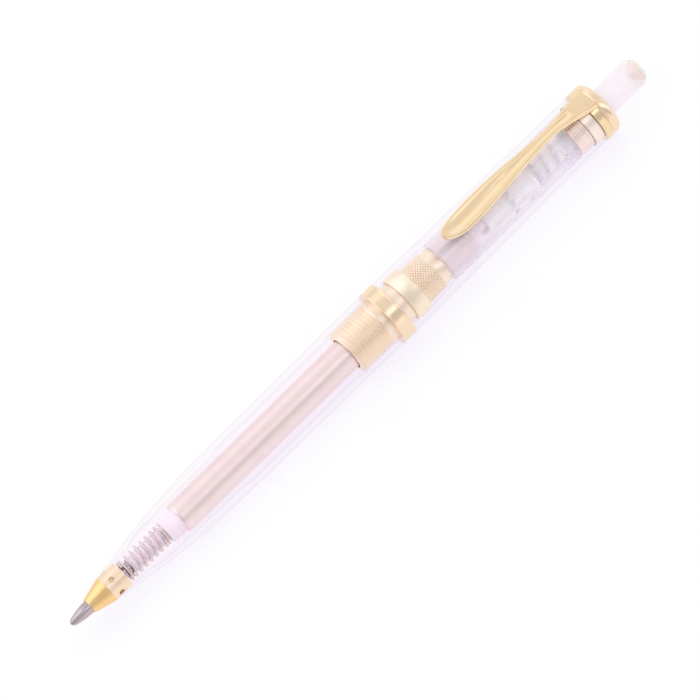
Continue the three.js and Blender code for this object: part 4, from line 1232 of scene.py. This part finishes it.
return_front = shank_end + SPRING_SEAT
return_rear = SHOULDER_START - SPRING_SEAT
return_coil = coil("return_coil", return_front, return_rear, RETURN_RADIUS, RETURN_WIRE, RETURN_TURNS)
dress(return_coil, wire, "spring_steel", None, "return_spring")
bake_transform(return_coil)

coil_front, coil_rear = ends("button_spring")
button_coil = coil("button_coil", coil_front, coil_rear, BUTTON_COIL_RADIUS, BUTTON_WIRE, BUTTON_TURNS)
dress(button_coil, light_wire, "spring_steel", None, "button_spring")
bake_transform(button_coil)


# Camera, seen from the photograph's side of the pen

VIEW_SIDE_TILT = radians(25)  # off straight down, towards -Y
VIEW_END_TILT = radians(9.5)  # towards the point
VIEW_ROLL = radians(44.44)  # of the pen in the picture
VIEW_DISTANCE = 1.2
VIEW_SCALE = 5.89  # picture pixels in a millimetre at the aim
PICTURE_SIZE = 700
SENSOR = 36
AIM_STATION = 66.76
AIM_ASIDE = 0.1


def make_camera():
    direction = Vector((
        -sin(VIEW_END_TILT),
        -sin(VIEW_SIDE_TILT) * cos(VIEW_END_TILT),
        cos(VIEW_SIDE_TILT) * cos(VIEW_END_TILT),
    ))
    along = (Vector((1, 0, 0)) - direction * direction.x).normalized()
    beside = direction.cross(along)
    right = along * cos(VIEW_ROLL) - beside * sin(VIEW_ROLL)
    up = along * sin(VIEW_ROLL) + beside * cos(VIEW_ROLL)
    aim = Vector(on_axis(AIM_STATION)) + beside * AIM_ASIDE * MM
    data = bpy.data.cameras.new("camera")
    data.sensor_width = SENSOR
    data.lens = VIEW_SCALE / MM * VIEW_DISTANCE * SENSOR / PICTURE_SIZE
    data.clip_start = 0.01
    camera = new_object("camera", data)
    turn = Matrix((right, up, direction)).transposed().to_4x4()
    camera.matrix_world = Matrix.Translation(aim + direction * VIEW_DISTANCE) @ turn
    bpy.context.scene.camera = camera


# Floor and light

FLOOR_COLOUR = (0.94, 0.93, 0.96)
FLOOR_PLAIN_SHARE = (0.8, 0.75, 0.93)  # of plain white in what it shows, so that its shade is lavender
FLOOR_SIZE = 30


def either(tree, flag, *others):
    """1 or more where any of these is 1."""
    for other in others:
        flag = node(tree, "ShaderNodeMath", {0: flag, 1: other})
    return flag


def make_floor():
    bpy.ops.mesh.primitive_plane_add(size=FLOOR_SIZE)
    floor = bpy.context.object
    floor.name = "floor"
    material, tree, shader = new_material("floor")
    tree.nodes.remove(shader)
    matte = node(tree, "ShaderNodeBsdfDiffuse", {"Color": (*FLOOR_COLOUR, 1)})
    lit_colour = [(1 - share) * FLOOR_COLOUR[0] for share in FLOOR_PLAIN_SHARE]
    lit = node(tree, "ShaderNodeBsdfDiffuse", {"Color": (*lit_colour, 1)})
    plain = node(tree, "ShaderNodeEmission", {"Color": (*FLOOR_PLAIN_SHARE, 1)})
    pale = node(tree, "ShaderNodeAddShader", {0: lit, 1: plain})
    ray = tree.nodes.new("ShaderNodeLightPath").outputs
    seen = either(tree, ray["Is Camera Ray"], ray["Is Glossy Ray"], ray["Is Transmission Ray"])
    show(tree, mixed(tree, seen, matte, pale))
    floor.data.materials.append(material)


WORLD_LIGHT = 0.88
MIRROR_LIGHT = 1.5

# Brightness from -Y to +Y in what the metals mirror, and the same where they mirror the point's end
SIDE_LIGHT = (
    (0, 0.7), (0.03, 0.7), (0.08, 0.45), (0.2, 0.45), (0.25, 0.9), (0.33, 0.9), (0.4, 0.57),
    (0.62, 0.57), (0.74, 0.62), (0.84, 0.73), (0.93, 0.73), (0.97, 0.6), (1, 0.57),
)
POINT_LIGHT = (
    (0, 0.6), (0.1, 0.47), (0.3, 0.46), (0.43, 0.51), (0.6, 0.85), (0.8, 0.95), (0.94, 0.85), (1, 0.6),
)
POINT_LIGHT_SPREAD = (0.02, -0.12)  # X of the directions where the one gives way to the other


def mirror_light(tree, across, levels):
    grey = [(position, (level, level, level)) for position, level in levels]
    colour = ramp(tree, across, grey)
    return node(tree, "ShaderNodeBackground", {"Color": colour, "Strength": MIRROR_LIGHT})


def make_world():
    world = bpy.data.worlds.new("studio")
    world.use_nodes = True
    bpy.context.scene.world = world
    tree = world.node_tree
    white = (1, 1, 1, 1)
    ambient = tree.nodes["Background"]
    feed(tree, ambient, {"Color": white, "Strength": WORLD_LIGHT})
    direction = node(tree, "ShaderNodeTexCoord", output="Generated")
    parts = tree.nodes.new("ShaderNodeSeparateXYZ")
    feed(tree, parts, {"Vector": direction})
    across = remap(tree, parts.outputs["Y"], -1)
    endways = remap(tree, parts.outputs["X"], *POINT_LIGHT_SPREAD)
    side = mirror_light(tree, across, SIDE_LIGHT)
    point = mirror_light(tree, across, POINT_LIGHT)
    mirrored = mixed(tree, endways, side, point)
    backdrop = node(tree, "ShaderNodeBackground", {"Color": white})
    ray = tree.nodes.new("ShaderNodeLightPath").outputs
    lit = mixed(tree, ray["Is Glossy Ray"], ambient.outputs["Background"], mirrored)
    seen = either(tree, ray["Is Camera Ray"], ray["Is Transmission Ray"])
    show(tree, mixed(tree, seen, lit, backdrop), "World Output")


LAMP_PLACE = (0, 0.25, 0.65)
LAMP_SIZE = (0.9, 0.42)
LAMP_WATTS = 1.54


def make_lamp():
    data = bpy.data.lights.new("key", "AREA")
    data.shape = "RECTANGLE"
    data.size, data.size_y = LAMP_SIZE
    data.energy = LAMP_WATTS
    lamp = new_object("key", data)
    lamp.visible_glossy = False
    lamp.visible_transmission = False
    lamp.location = LAMP_PLACE
    lamp.rotation_euler = (-Vector(LAMP_PLACE)).to_track_quat("-Z", "Y").to_euler()


make_camera()
make_floor()
make_world()
make_lamp()

bpy.context.scene.view_settings.view_transform = "Standard"
